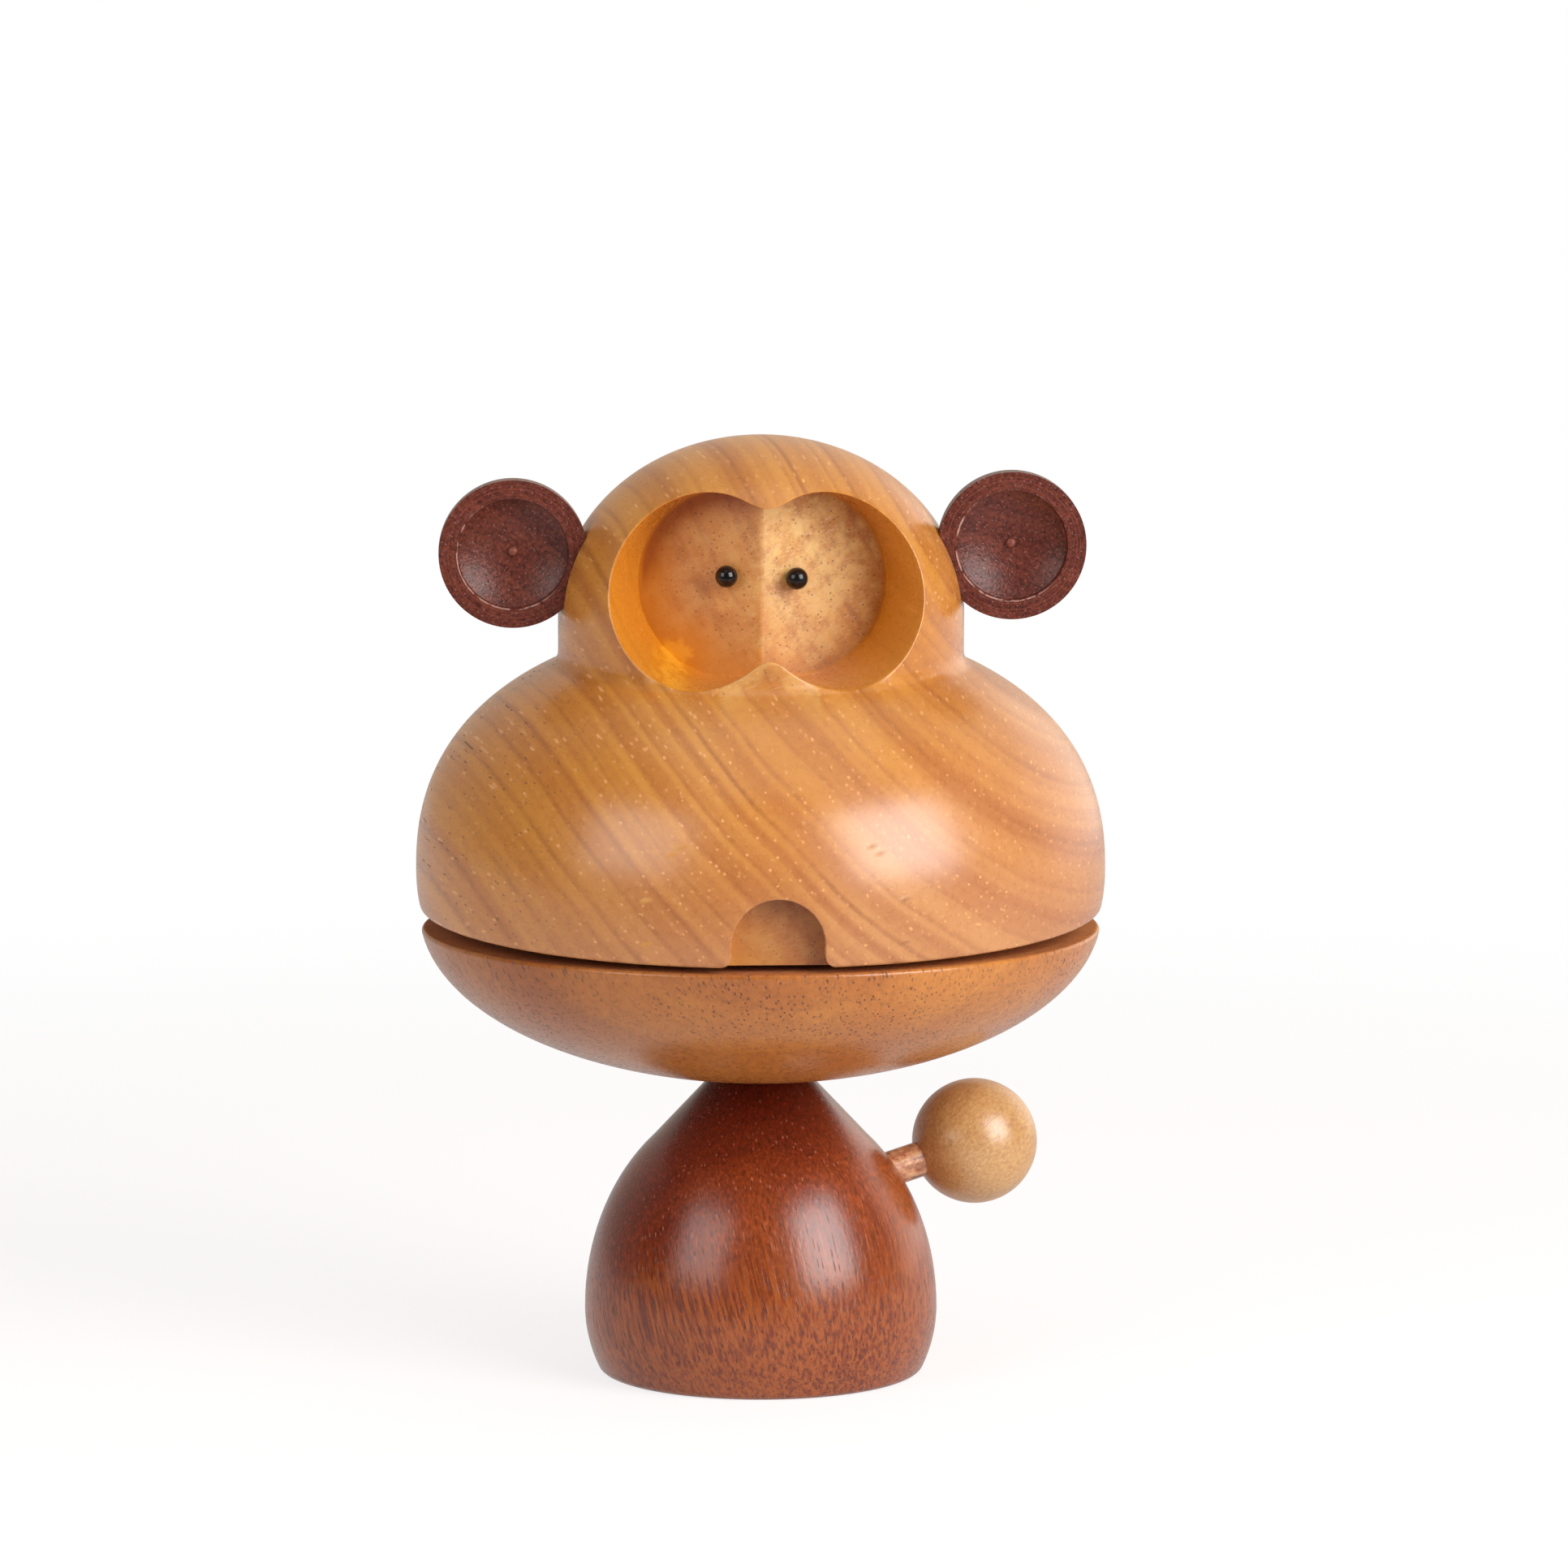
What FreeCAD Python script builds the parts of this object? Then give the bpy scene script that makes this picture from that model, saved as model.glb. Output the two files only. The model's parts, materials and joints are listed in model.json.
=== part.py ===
import FreeCAD
import Part
import math
import os

Vector = FreeCAD.Vector

# A wooden music box in the shape of a monkey, in millimetres.
# +Z is up, the face looks along -Y, and the origin is the middle of the flat base on the table.
# The body and the jaw stand still. The head holds the musical movement, whose winding shaft stands
# upright in the jaw, so turning the head winds the spring and the head turns back while it plays.

# Driving sizes of the turned body
body_width = 51.4
body_height = 43.8
body_widest_height = 9.4
body_shoulder_rise = 31.6
body_heel_drop = 22.5
body_cone_rise = 25.0
body_neck_width = 13.8
body_edge_round = 1.5

# Driving sizes of the jaw, a shallow bowl with a flat top
jaw_width = 99.0
jaw_height = 21.8
jaw_bowl_drop = 24.3
jaw_seat_flat = 0.3
jaw_edge_round = 0.5

# Driving sizes of the head block, measured up from the flat under the muzzle
mouth_gap = 3.0
head_lean = 2.5
muzzle_width = 100.0
muzzle_widest_height = 5.65
muzzle_rise = 35.1
muzzle_drop = 27.0
muzzle_power = 2.3
muzzle_edge_round = 0.7
dome_width = 58.6
dome_wall_height = 43.1
dome_rise = 25.3
crease_round = 2.0

# Eye recess: two flat-bottomed bores that splay outwards and share one ridge
eye_bore_width = 27.2
eye_bore_splay = 19.0
eye_bore_offset = 5.3
eye_ridge_depth = 16.1
right_eye_bore_deeper = 0.4
eye_bore_height = 48.05
eye_waist_width = 20.4
eye_waist_raise = 1.1
eye_ball_width = 3.2
left_eye_offset = 5.2
right_eye_offset = 4.5
left_eye_raise = 1.0
right_eye_raise = 0.65
eye_pin_width = 1.2
eye_pin_length = 5.0

# Mouth notch: a flat-bottomed arch at the front edge of the muzzle
notch_width = 13.0
notch_depth = 3.5
notch_arch_height = 3.3
notch_flare = 1.8
notch_sideways = 0.35

# Ears: turned cups, scooped where they meet the dome
ear_width = 21.3
ear_thickness = 9.0
ear_rim_side = 2.5
ear_dish_width = 16.0
ear_dish_step = 1.2
ear_dish_depth = 2.0
ear_dish_taper = 0.2
ear_bowl_share = 0.25
ear_nub_width = 1.6
ear_nub_height = 0.7
ear_beyond_dome = 6.5
ear_height = 53.2
left_ear_drop = 0.9
ear_face_forward = 6.5
ear_dowel_width = 2.5
ear_dowel_length = 11.0
ear_dowel_in_head = 5.5
ear_dowel_cover = 1.0

# Tail: a ball on a dowel that turns in a blind bore of the body
tail_azimuth = 106.0
tail_rise = 15.0
tail_ball_width = 18.4
tail_ball_beyond_body = 7.5
tail_ball_height = 31.9
tail_peg_width = 5.2
tail_peg_length = 29.0
tail_peg_in_ball = 6.0
tail_bore_clearance = 0.05
tail_bore_end_gap = 0.3

# Screw from the underside that joins the body to the jaw
body_screw_width = 5.0
body_screw_length = 35.0
body_screw_head_width = 9.0
body_screw_head_height = 3.0
body_screw_clearance = 0.2
body_counterbore_width = 12.0
body_counterbore_depth = 16.0
washer_width = 11.0
washer_thickness = 1.0
insert_width = 8.0
insert_length = 10.0

# Hub and winding shaft in the jaw
hub_flange_width = 20.0
hub_flange_thickness = 2.0
hub_boss_width = 10.0
hub_boss_length = 7.0
hub_screw_width = 2.2
hub_screw_length = 8.0
hub_screw_head_width = 4.0
hub_screw_circle = 7.6
hub_screw_count = 3
hub_screw_first_angle = 90.0
shaft_shoulder_width = 6.0
shaft_width = 3.0
shaft_core_width = 4.4
thrust_washer_width = 8.0
thrust_washer_thickness = 0.9
thrust_gap = 0.1

# Board that closes the head's cavity and carries the movement
board_width = 83.0
board_thickness = 3.0
board_recess = 2.0
board_hole_width = 10.0
board_side_gap = 0.3
cavity_width = 73.2
cavity_height = 21.8
board_screw_width = 2.4
board_screw_length = 10.0
board_screw_head_width = 4.4
board_screw_count = 4
board_screw_first_angle = 45.0

# Cast bedplate of the movement, with x along the cylinder and y across it
bed_thickness = 2.0
bed_left = 13.0
bed_right = 34.0
bed_front = 17.5
bed_back = 18.5
bed_corner_round = 7.0
movement_screw_width = 2.4
movement_screw_head_width = 4.4
movement_screw_places = ((-8.5, -11.5), (-8.5, 12.5), (31.0, -9.5))

# Spring barrel and mainspring
barrel_width = 18.6
barrel_height = 12.0
barrel_wall = 0.8
barrel_ear_reach = 11.4
barrel_ear_width = 4.4
barrel_ear_thickness = 1.0
barrel_ear_angles = (115.0, 245.0)
barrel_hole_clearance = 0.2
barrel_screw_width = 1.6
barrel_screw_head_width = 3.0
spring_strip = 0.3
spring_turns = 8
spring_points_per_turn = 12
spring_side_gap = 0.3
spring_height = 10.2

# Wheels of the train; tooth heights are shares of a wheel's module, tooth widths of its step
tooth_tip_height = 0.9
tooth_root_depth = 1.2
tooth_share = 0.38
tooth_flank_share = 0.45
crown_teeth = 42
crown_module = 0.5
crown_face_inner = 9.6
crown_face_outer = 11.4
crown_addendum = 0.35
crown_dedendum = 0.5
crown_thickness = 1.0
crown_tooth_tip = 0.2
crown_tooth_root = 0.46
pinion_teeth = 12
pinion_face = 1.6
cylinder_axis_height = 9.0
gear_teeth = 46
gear_module = 0.35
gear_face = 1.4
governor_teeth = 13
governor_angle = 10.0
governor_slack = 0.06
worm_lead = 1.0
worm_width = 2.0
worm_turns = 3
worm_wheel_teeth = 18
worm_wheel_face = 0.8
worm_slack = 0.08
worm_phase = 0.75
worm_thread_root = 0.42
worm_thread_tip = 0.18
worm_thread_height = 0.8
worm_thread_sink = 0.15

# Pinned cylinder and comb
drum_width = 12.0
drum_start = 13.3
drum_length = 16.5
cylinder_pin_width = 0.4
cylinder_pin_height = 0.8
pins_per_track = 3
track_turn = 137.5
pin_turn = 23.0
cylinder_arbor_width = 1.6
bearing_wall = 0.8
bearing_wall_width = 6.0
bearing_gap = 0.5
bearing_clearance = 0.05
comb_teeth = 18
comb_tooth_gap = 0.24
comb_tooth_length = 6.0
comb_tooth_root = 0.5
comb_back_length = 4.2
comb_thickness = 0.8
comb_side_margin = 0.5
comb_tip_gap = 0.15
comb_screw_width = 1.8
comb_screw_share = 0.22
comb_screw_head_width = 3.2

# Governor bracket, worm and fly
governor_x = 21.0
governor_arbor_width = 1.0
bracket_inner_width = 6.4
bracket_wall = 0.8
bracket_height = 15.5
bracket_length = 9.6
bracket_foot_length = 4.0
bracket_foot_width = 5.0
bracket_forward = 1.0
governor_screw_width = 1.6
governor_screw_head_width = 2.8
fly_width = 5.6
fly_bottom = 1.8
fly_height = 5.0
fly_thickness = 0.3
fly_arbor_width = 0.8
fly_hub_wall = 0.5
fly_pivot_depth = 1.0

# Ratchet, click and clip at the top of the winding shaft
ratchet_width = 8.0
ratchet_teeth = 12
ratchet_tooth_depth = 0.9
ratchet_thickness = 1.0
ratchet_tooth_slant = 0.03
click_length = 5.0
click_width = 1.6
click_thickness = 0.8
click_pivot_share = 0.7
click_eye_share = 1.3
click_screw_width = 1.2
click_screw_head_width = 2.0
clip_width = 6.0
clip_thickness = 0.6
clip_slot = 1.8
shaft_tip = 0.6

# Common details
screw_head_height = 1.0
screw_slot_width = 0.5
screw_slot_depth = 0.5
stack_gap = 0.2
close = 0.01
muzzle_curve_steps = 6
tool_reach = 80.0
cut_past = 1.0

# Heights and radii worked out from the driving sizes
eye_ridge_forward = dome_width / 2 - eye_ridge_depth
ear_reach = dome_width / 2 + ear_beyond_dome
tail_ball_reach = body_width / 2 + tail_ball_beyond_body
jaw_top = body_height + jaw_height
muzzle_floor = jaw_top + mouth_gap
board_bottom = muzzle_floor + board_recess
board_top = board_bottom + board_thickness
bed_top = board_top + bed_thickness
cylinder_axis = bed_top + cylinder_axis_height
crown_radius = crown_module * crown_teeth / 2
pinion_radius = crown_module * pinion_teeth / 2
gear_radius = gear_module * gear_teeth / 2
governor_radius = gear_module * governor_teeth / 2
worm_wheel_radius = worm_lead * worm_wheel_teeth / (2 * math.pi)
governor_reach = gear_radius + governor_radius + governor_slack
governor_y = governor_reach * math.cos(math.radians(governor_angle))
governor_z = cylinder_axis + governor_reach * math.sin(math.radians(governor_angle))
worm_y = governor_y + worm_wheel_radius + worm_width / 2 + worm_slack
crown_pitch_plane = cylinder_axis + pinion_radius
crown_bottom = crown_pitch_plane + crown_dedendum
crown_top = crown_bottom + crown_thickness
pinion_x = crown_radius - pinion_face / 2
ratchet_top = crown_top + ratchet_thickness
clip_bottom = ratchet_top
shaft_top = clip_bottom + clip_thickness + shaft_tip
shaft_bottom = jaw_top - hub_boss_length
shoulder_top = board_top - thrust_gap - thrust_washer_thickness
drum_end = drum_start + drum_length
left_wall_x = drum_start - bearing_gap - bearing_wall
gear_x = drum_end + bearing_gap
right_wall_x = gear_x + gear_face + bearing_gap
comb_tip_y = -(drum_width / 2 + cylinder_pin_height + comb_tip_gap)
comb_back_y = comb_tip_y - comb_tooth_length
comb_end_y = comb_back_y - comb_back_length
comb_bottom = cylinder_axis - comb_thickness / 2


def rod(width, low, high, x=0.0, y=0.0):
    """An upright round bar between two heights."""
    return Part.makeCylinder(width / 2, high - low, Vector(x, y, low))


def bar_along_x(width, start, end, y, z):
    """A round bar along x."""
    return Part.makeCylinder(width / 2, end - start, Vector(start, y, z), Vector(1, 0, 0))


def block(x0, x1, y0, y1, z0, z1):
    """A box between two corners."""
    return Part.makeBox(x1 - x0, y1 - y0, z1 - z0, Vector(x0, y0, z0))


def turned(edges):
    """The solid of revolution about the z axis of a closed outline in the xz plane."""
    face = Part.Face(Part.Wire(edges))
    return face.revolve(Vector(0, 0, 0), Vector(0, 0, 1), 360)


def line(a, b):
    """A straight edge in the xz plane between two (radius, height) points."""
    return Part.makeLine(Vector(a[0], 0, a[1]), Vector(b[0], 0, b[1]))


def ellipse_arc(middle, half_width, half_height, start, end):
    """An arc of an ellipse in the xz plane, its angles in radians up from the widest point."""
    curve = Part.ArcOfCircle(Part.Circle(), start, end).toBSpline()
    for number in range(1, curve.NbPoles + 1):
        pole = curve.getPole(number)
        curve.setPole(number, Vector(pole.x * half_width, 0, middle + pole.y * half_height))
    return curve.toShape()


def on_ellipse(half_width, half_height, rise):
    """The radius of an ellipse at a height above or below its widest ring."""
    return half_width * math.sqrt(1 - (rise / half_height) ** 2)


def on_muzzle(height):
    """The muzzle's radius, a superellipse on each side of its widest ring."""
    above = height - muzzle_widest_height
    reach = muzzle_rise if above > 0 else muzzle_drop
    return muzzle_width / 2 * (1 - (abs(above) / reach) ** muzzle_power) ** (1 / muzzle_power)


def muzzle_height_at(radius):
    """The height at which the upper muzzle has narrowed to a radius."""
    share = (1 - (radius / (muzzle_width / 2)) ** muzzle_power) ** (1 / muzzle_power)
    return muzzle_widest_height + muzzle_rise * share


def edges_near(solid, radius, height):
    """The round edges about the z axis at one radius and height."""
    found = []
    for edge in solid.Edges:
        box = edge.BoundBox
        level = abs(box.ZMax - height) < close and abs(box.ZMin - height) < close
        if level and abs(box.XMax - radius) < close:
            found.append(edge)
    return found


def with_lean(shape):
    """The shape leaned towards the face about the middle of the muzzle's floor."""
    leaned = shape.copy()
    leaned.rotate(Vector(0, 0, muzzle_floor), Vector(1, 0, 0), head_lean)
    return leaned


def raised(shape, height):
    """The shape moved up."""
    moved = shape.copy()
    moved.translate(Vector(0, 0, height))
    return moved


def pointed_along(shape, start, direction):
    """A shape made on the z axis, with that axis turned to a direction from a start point."""
    turn = FreeCAD.Rotation(Vector(0, 0, 1), direction)
    placed = shape.copy()
    placed.Placement = FreeCAD.Placement(start, turn).multiply(placed.Placement)
    return placed


def slotted_screw(width, length, head_width, seat, x, y, upwards):
    """A screw with a flat head on its seat, the shank pointing up or down from the seat."""
    way = 1 if upwards else -1
    shank = Part.makeCylinder(width / 2, length, Vector(x, y, seat), Vector(0, 0, way))
    head = Part.makeCylinder(head_width / 2, screw_head_height, Vector(x, y, seat), Vector(0, 0, -way))
    face = seat - way * screw_head_height
    depth = way * screw_slot_depth
    slot = block(x - head_width, x + head_width, y - screw_slot_width / 2, y + screw_slot_width / 2,
                 min(face, face + depth), max(face, face + depth))
    return shank.fuse(head).cut(slot).removeSplitter()


def polygon_face(points):
    """A flat face in the xy plane with straight sides."""
    corners = [Vector(x, y, 0) for x, y in points]
    return Part.Face(Part.makePolygon(corners + corners[:1]))


def toothed_disc(teeth, module, face_width, share, first_angle):
    """A spur wheel on the z axis: straight-sided teeth, narrower at the tip than at the root."""
    pitch = module * teeth / 2
    root = pitch - tooth_root_depth * module
    tip = pitch + tooth_tip_height * module
    step = 2 * math.pi / teeth
    half = share * step / 2
    flank = half * tooth_flank_share
    points = []
    for number in range(teeth):
        middle = math.radians(first_angle) + number * step
        for radius, angle in ((root, -half - flank), (tip, -half + flank),
                              (tip, half - flank), (root, half + flank)):
            points.append((radius * math.cos(middle + angle), radius * math.sin(middle + angle)))
    return polygon_face(points).extrude(Vector(0, 0, face_width))


def along_x(shape, x, y, z):
    """A wheel made on the z axis, laid along x: its first direction becomes y, its second z."""
    laid = shape.copy()
    laid.Placement = FreeCAD.Placement(Vector(x, y, z), FreeCAD.Rotation(Vector(1, 1, 1), 120))
    return laid


def tail_direction():
    """The unit vector along the tail's dowel, out of the body."""
    around = math.radians(tail_azimuth)
    up = math.radians(tail_rise)
    return Vector(math.sin(around) * math.cos(up), -math.cos(around) * math.cos(up), math.sin(up))


def tail_ball_middle():
    """The middle of the ball on the tail."""
    around = math.radians(tail_azimuth)
    return Vector(math.sin(around) * tail_ball_reach, -math.cos(around) * tail_ball_reach, tail_ball_height)


def tail_peg_start():
    """The inner end of the tail's dowel, inside the body."""
    outer_end = tail_ball_middle() - tail_direction() * (tail_ball_width / 2 - tail_peg_in_ball)
    return outer_end - tail_direction() * tail_peg_length + tail_direction() * tail_peg_in_ball


def body():
    """Turned bell: an ellipse above and below the widest ring, and a straight cone to the neck."""
    half = body_width / 2
    foot = on_ellipse(half, body_heel_drop, body_widest_height)
    cone_radius = on_ellipse(half, body_shoulder_rise, body_cone_rise)
    cone_start = body_widest_height + body_cone_rise
    neck = body_neck_width / 2
    low = -math.asin(body_widest_height / body_heel_drop)
    high = math.asin(body_cone_rise / body_shoulder_rise)
    bell = turned([
        line((0, 0), (foot, 0)),
        ellipse_arc(body_widest_height, half, body_heel_drop, low, 0),
        ellipse_arc(body_widest_height, half, body_shoulder_rise, 0, high),
        line((cone_radius, cone_start), (neck, body_height)),
        line((neck, body_height), (0, body_height)),
        line((0, body_height), (0, 0)),
    ])
    bell = bell.makeFillet(body_edge_round, edges_near(bell, foot, 0))
    screw_hole = rod(body_screw_width + 2 * body_screw_clearance, -cut_past, body_height + cut_past)
    counterbore = rod(body_counterbore_width, -cut_past, body_counterbore_depth)
    bore_width = tail_peg_width + 2 * tail_bore_clearance
    bore = Part.makeCylinder(bore_width / 2, tool_reach)
    bore_start = tail_peg_start() - tail_direction() * tail_bore_end_gap
    return bell.cut([screw_hole, counterbore, pointed_along(bore, bore_start, tail_direction())])


def jaw():
    """Shallow bowl, solid inside, with seats for the insert below and the hub above."""
    middle = body_height - jaw_seat_flat + jaw_bowl_drop
    half = jaw_width / 2
    seat = on_ellipse(half, jaw_bowl_drop, middle - body_height)
    rim = on_ellipse(half, jaw_bowl_drop, middle - jaw_top)
    low = -math.asin((middle - body_height) / jaw_bowl_drop)
    high = -math.asin((middle - jaw_top) / jaw_bowl_drop)
    bowl = turned([
        line((0, body_height), (seat, body_height)),
        ellipse_arc(middle, half, jaw_bowl_drop, low, high),
        line((rim, jaw_top), (0, jaw_top)),
        line((0, jaw_top), (0, body_height)),
    ])
    bowl = bowl.makeFillet(jaw_edge_round, edges_near(bowl, rim, jaw_top))
    cuts = [
        rod(insert_width, body_height - cut_past, body_height + insert_length),
        rod(hub_flange_width, jaw_top - hub_flange_thickness, jaw_top + cut_past),
        rod(hub_boss_width, jaw_top - hub_boss_length, jaw_top),
    ]
    for x, y in ring_places(hub_screw_count, hub_screw_circle, hub_screw_first_angle):
        seat_height = jaw_top - screw_head_height
        cuts.append(rod(hub_screw_width, seat_height - hub_screw_length, seat_height, x, y))
    return bowl.cut(cuts)


def ring_places(count, radius, first_angle):
    """Evenly spaced points on a circle about the z axis."""
    places = []
    for number in range(count):
        angle = math.radians(first_angle + 360.0 * number / count)
        places.append((radius * math.cos(angle), radius * math.sin(angle)))
    return places


def body_screw():
    """Pan-head machine screw, from the washer in the counterbore up into the insert."""
    seat = body_counterbore_depth - washer_thickness
    shank = rod(body_screw_width, seat, seat + body_screw_length)
    head = rod(body_screw_head_width, seat - body_screw_head_height, seat)
    recess = block(-body_screw_head_width, body_screw_head_width, -screw_slot_width, screw_slot_width,
                   seat - body_screw_head_height, seat - body_screw_head_height / 2)
    return shank.fuse(head).cut(recess).removeSplitter()


def body_washer():
    """Flat washer at the top of the counterbore."""
    low = body_counterbore_depth - washer_thickness
    hole = rod(body_screw_width + 2 * body_screw_clearance, low, body_counterbore_depth)
    return rod(washer_width, low, body_counterbore_depth).cut(hole)


def jaw_insert():
    """Threaded brass insert in the underside of the jaw."""
    top = body_height + insert_length
    return rod(insert_width, body_height, top).cut(rod(body_screw_width, body_height, top))


def shaft_hub():
    """Flanged brass hub, let into the top of the jaw, that holds the winding shaft."""
    hub = rod(hub_flange_width, jaw_top - hub_flange_thickness, jaw_top)
    hub = hub.fuse(rod(hub_boss_width, shaft_bottom, jaw_top))
    cuts = [rod(shaft_shoulder_width, shaft_bottom, jaw_top)]
    for x, y in ring_places(hub_screw_count, hub_screw_circle, hub_screw_first_angle):
        cuts.append(rod(hub_screw_width, shaft_bottom, jaw_top, x, y))
        cuts.append(rod(hub_screw_head_width, jaw_top - screw_head_height, jaw_top, x, y))
    return hub.cut(cuts).removeSplitter()


def hub_screws():
    """Wood screws that hold the hub's flange."""
    seat = jaw_top - screw_head_height
    screws = []
    for x, y in ring_places(hub_screw_count, hub_screw_circle, hub_screw_first_angle):
        screws.append(slotted_screw(hub_screw_width, hub_screw_length, hub_screw_head_width,
                                    seat, x, y, False))
    return Part.makeCompound(screws)


def winding_shaft():
    """Stepped steel shaft: a thick foot in the hub, a core for the spring, and a thin end."""
    shaft = rod(shaft_shoulder_width, shaft_bottom, shoulder_top)
    core = rod(shaft_core_width, bed_top + spring_side_gap, bed_top + spring_side_gap + spring_height)
    shaft = shaft.fuse([rod(shaft_width, shoulder_top, shaft_top), core])
    return shaft.removeSplitter()


def thrust_washer():
    """Washer on the shaft's shoulder, on which the head turns."""
    top = shoulder_top + thrust_washer_thickness
    return rod(thrust_washer_width, shoulder_top, top).cut(rod(shaft_width, shoulder_top, top))


def head_turning():
    """The plain turned block of the head, its floor at height 0: muzzle, crease and dome."""
    wall = dome_width / 2
    crease = muzzle_height_at(wall)
    low = [0, muzzle_widest_height / 2]
    high = [muzzle_widest_height + (crease - muzzle_widest_height)
            * math.sin(math.pi / 2 * number / muzzle_curve_steps)
            for number in range(muzzle_curve_steps + 1)]
    curve = Part.BSplineCurve()
    curve.interpolate([Vector(on_muzzle(z), 0, z) for z in low + high])
    floor_radius = on_muzzle(0)
    turning = turned([
        line((0, 0), (floor_radius, 0)),
        curve.toShape(),
        line((wall, crease), (wall, dome_wall_height)),
        ellipse_arc(dome_wall_height, wall, dome_rise, 0, math.pi / 2),
        line((0, dome_wall_height + dome_rise), (0, 0)),
    ])
    turning = turning.makeFillet(crease_round, edges_near(turning, wall, crease))
    return turning.makeFillet(muzzle_edge_round, edges_near(turning, floor_radius, 0))


def eye_floor(side, offset, rise):
    """A point on a bore's floor, that far out from the ridge, and the level way out of the bore.

    The right bore is a little deeper, which moves the ridge to the left of the middle.
    """
    splay = math.radians(eye_bore_splay)
    way_out = Vector(side * math.sin(splay), -math.cos(splay), 0)
    point = Vector(side * offset * math.cos(splay), -eye_ridge_forward + offset * math.sin(splay),
                   muzzle_floor + eye_bore_height + rise)
    if side > 0:
        point = point - way_out * right_eye_bore_deeper
    return point, way_out


def eye_place(side):
    """The seat of one eye and the way out of its bore; side is -1 or 1."""
    if side < 0:
        return eye_floor(side, left_eye_offset, left_eye_raise)
    return eye_floor(side, right_eye_offset, right_eye_raise)


def mouth_notch():
    """Arch cut from the front, with rounded corners where it opens at the muzzle's floor."""
    half = notch_width / 2
    back = -(muzzle_width / 2 - notch_depth)
    lift = notch_flare * (1 - math.sqrt(0.5))
    points = {
        "left_foot": Vector(-half - notch_flare, back, 0),
        "left_knee": Vector(-half - lift, back, lift),
        "left_side": Vector(-half, back, notch_flare),
        "left_spring": Vector(-half, back, notch_arch_height),
        "crown": Vector(0, back, notch_arch_height + half),
    }
    mirror = {name: Vector(-p.x, p.y, p.z) for name, p in points.items()}
    below = Vector(0, 0, -1)
    edges = [
        Part.Arc(points["left_foot"], points["left_knee"], points["left_side"]).toShape(),
        Part.makeLine(points["left_side"], points["left_spring"]),
        Part.Arc(points["left_spring"], points["crown"], mirror["left_spring"]).toShape(),
        Part.makeLine(mirror["left_spring"], mirror["left_side"]),
        Part.Arc(mirror["left_side"], mirror["left_knee"], mirror["left_foot"]).toShape(),
        Part.makeLine(mirror["left_foot"], mirror["left_foot"] + below),
        Part.makeLine(mirror["left_foot"] + below, points["left_foot"] + below),
        Part.makeLine(points["left_foot"] + below, points["left_foot"]),
    ]
    notch = Part.Face(Part.Wire(edges)).extrude(Vector(0, -2 * notch_depth, 0))
    notch.translate(Vector(notch_sideways, 0, 0))
    return notch


def ear_middle(side):
    """The middle of an ear's front face in the upright head; side is -1 or 1."""
    drop = left_ear_drop if side < 0 else 0
    return Vector(side * ear_reach, -ear_face_forward, ear_height - drop)


def ear_dowel(side):
    """Small round pin from the dome into the solid back of the ear."""
    middle = ear_middle(side)
    back = -ear_face_forward + ear_dish_step + ear_dish_depth + ear_dowel_width / 2 + ear_dowel_cover
    start = dome_width / 2 - ear_dowel_in_head
    return Part.makeCylinder(ear_dowel_width / 2, ear_dowel_length,
                             Vector(side * start, back, middle.z), Vector(side, 0, 0))


def head_block():
    """The leaned block with its eye recess, notch and pin holes, hollowed from below.

    A level cut between the two eye bores blunts the points of wood above and below the ridge.
    """
    leaned_cuts = [mouth_notch(), ear_dowel(-1), ear_dowel(1)]
    wood = with_lean(raised(head_turning().cut(leaned_cuts), muzzle_floor))
    hollow = [
        rod(board_width + 2 * board_side_gap, jaw_top - tool_reach / 2, board_top),
        rod(cavity_width, board_top - cut_past, board_top + cavity_height),
    ]
    ridge = Vector(0, -eye_ridge_forward, muzzle_floor + eye_bore_height + eye_waist_raise)
    hollow.append(Part.makeCylinder(eye_waist_width / 2, tool_reach, ridge, Vector(0, -1, 0)))
    for side in (-1, 1):
        middle, out = eye_floor(side, eye_bore_offset, 0)
        hollow.append(Part.makeCylinder(eye_bore_width / 2, tool_reach, middle, out))
        seat, out = eye_place(side)
        hollow.append(Part.makeCylinder(eye_pin_width / 2, eye_pin_length, seat, -out))
    for x, y in board_screw_places():
        hollow.append(rod(board_screw_width, board_bottom, board_bottom + board_screw_length, x, y))
    return wood.cut(hollow)


def ear(side):
    """Turned cup facing forward: flat rim, stepped dish with a nub, rounded back, scooped side."""
    half = ear_width / 2
    dish = ear_dish_width / 2
    nub = ear_nub_width / 2
    floor = -ear_dish_step - ear_dish_depth
    bowl_mid = Vector((dish + nub) / 2, 0, floor + ear_dish_depth * ear_bowl_share)
    bowl = Part.Arc(Vector(nub, 0, floor), bowl_mid, Vector(dish - ear_dish_taper, 0, -ear_dish_step))
    button = ellipse_arc(floor, nub, ear_nub_height, 0, math.pi / 2)
    cup = turned([
        button,
        bowl.toShape(),
        line((dish - ear_dish_taper, -ear_dish_step), (dish, 0)),
        line((dish, 0), (half, 0)),
        line((half, 0), (half, -ear_rim_side)),
        ellipse_arc(-ear_rim_side, half, ear_thickness - ear_rim_side, -math.pi / 2, 0),
        line((0, -ear_thickness), (0, floor + ear_nub_height)),
    ])
    placed = pointed_along(cup, ear_middle(side), Vector(0, -1, 0))
    scooped = placed.cut([head_turning(), ear_dowel(side)])
    return with_lean(raised(scooped, muzzle_floor))


def ear_dowels():
    """Both ear pins."""
    pins = [with_lean(raised(ear_dowel(side), muzzle_floor)) for side in (-1, 1)]
    return Part.makeCompound(pins)


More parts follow.
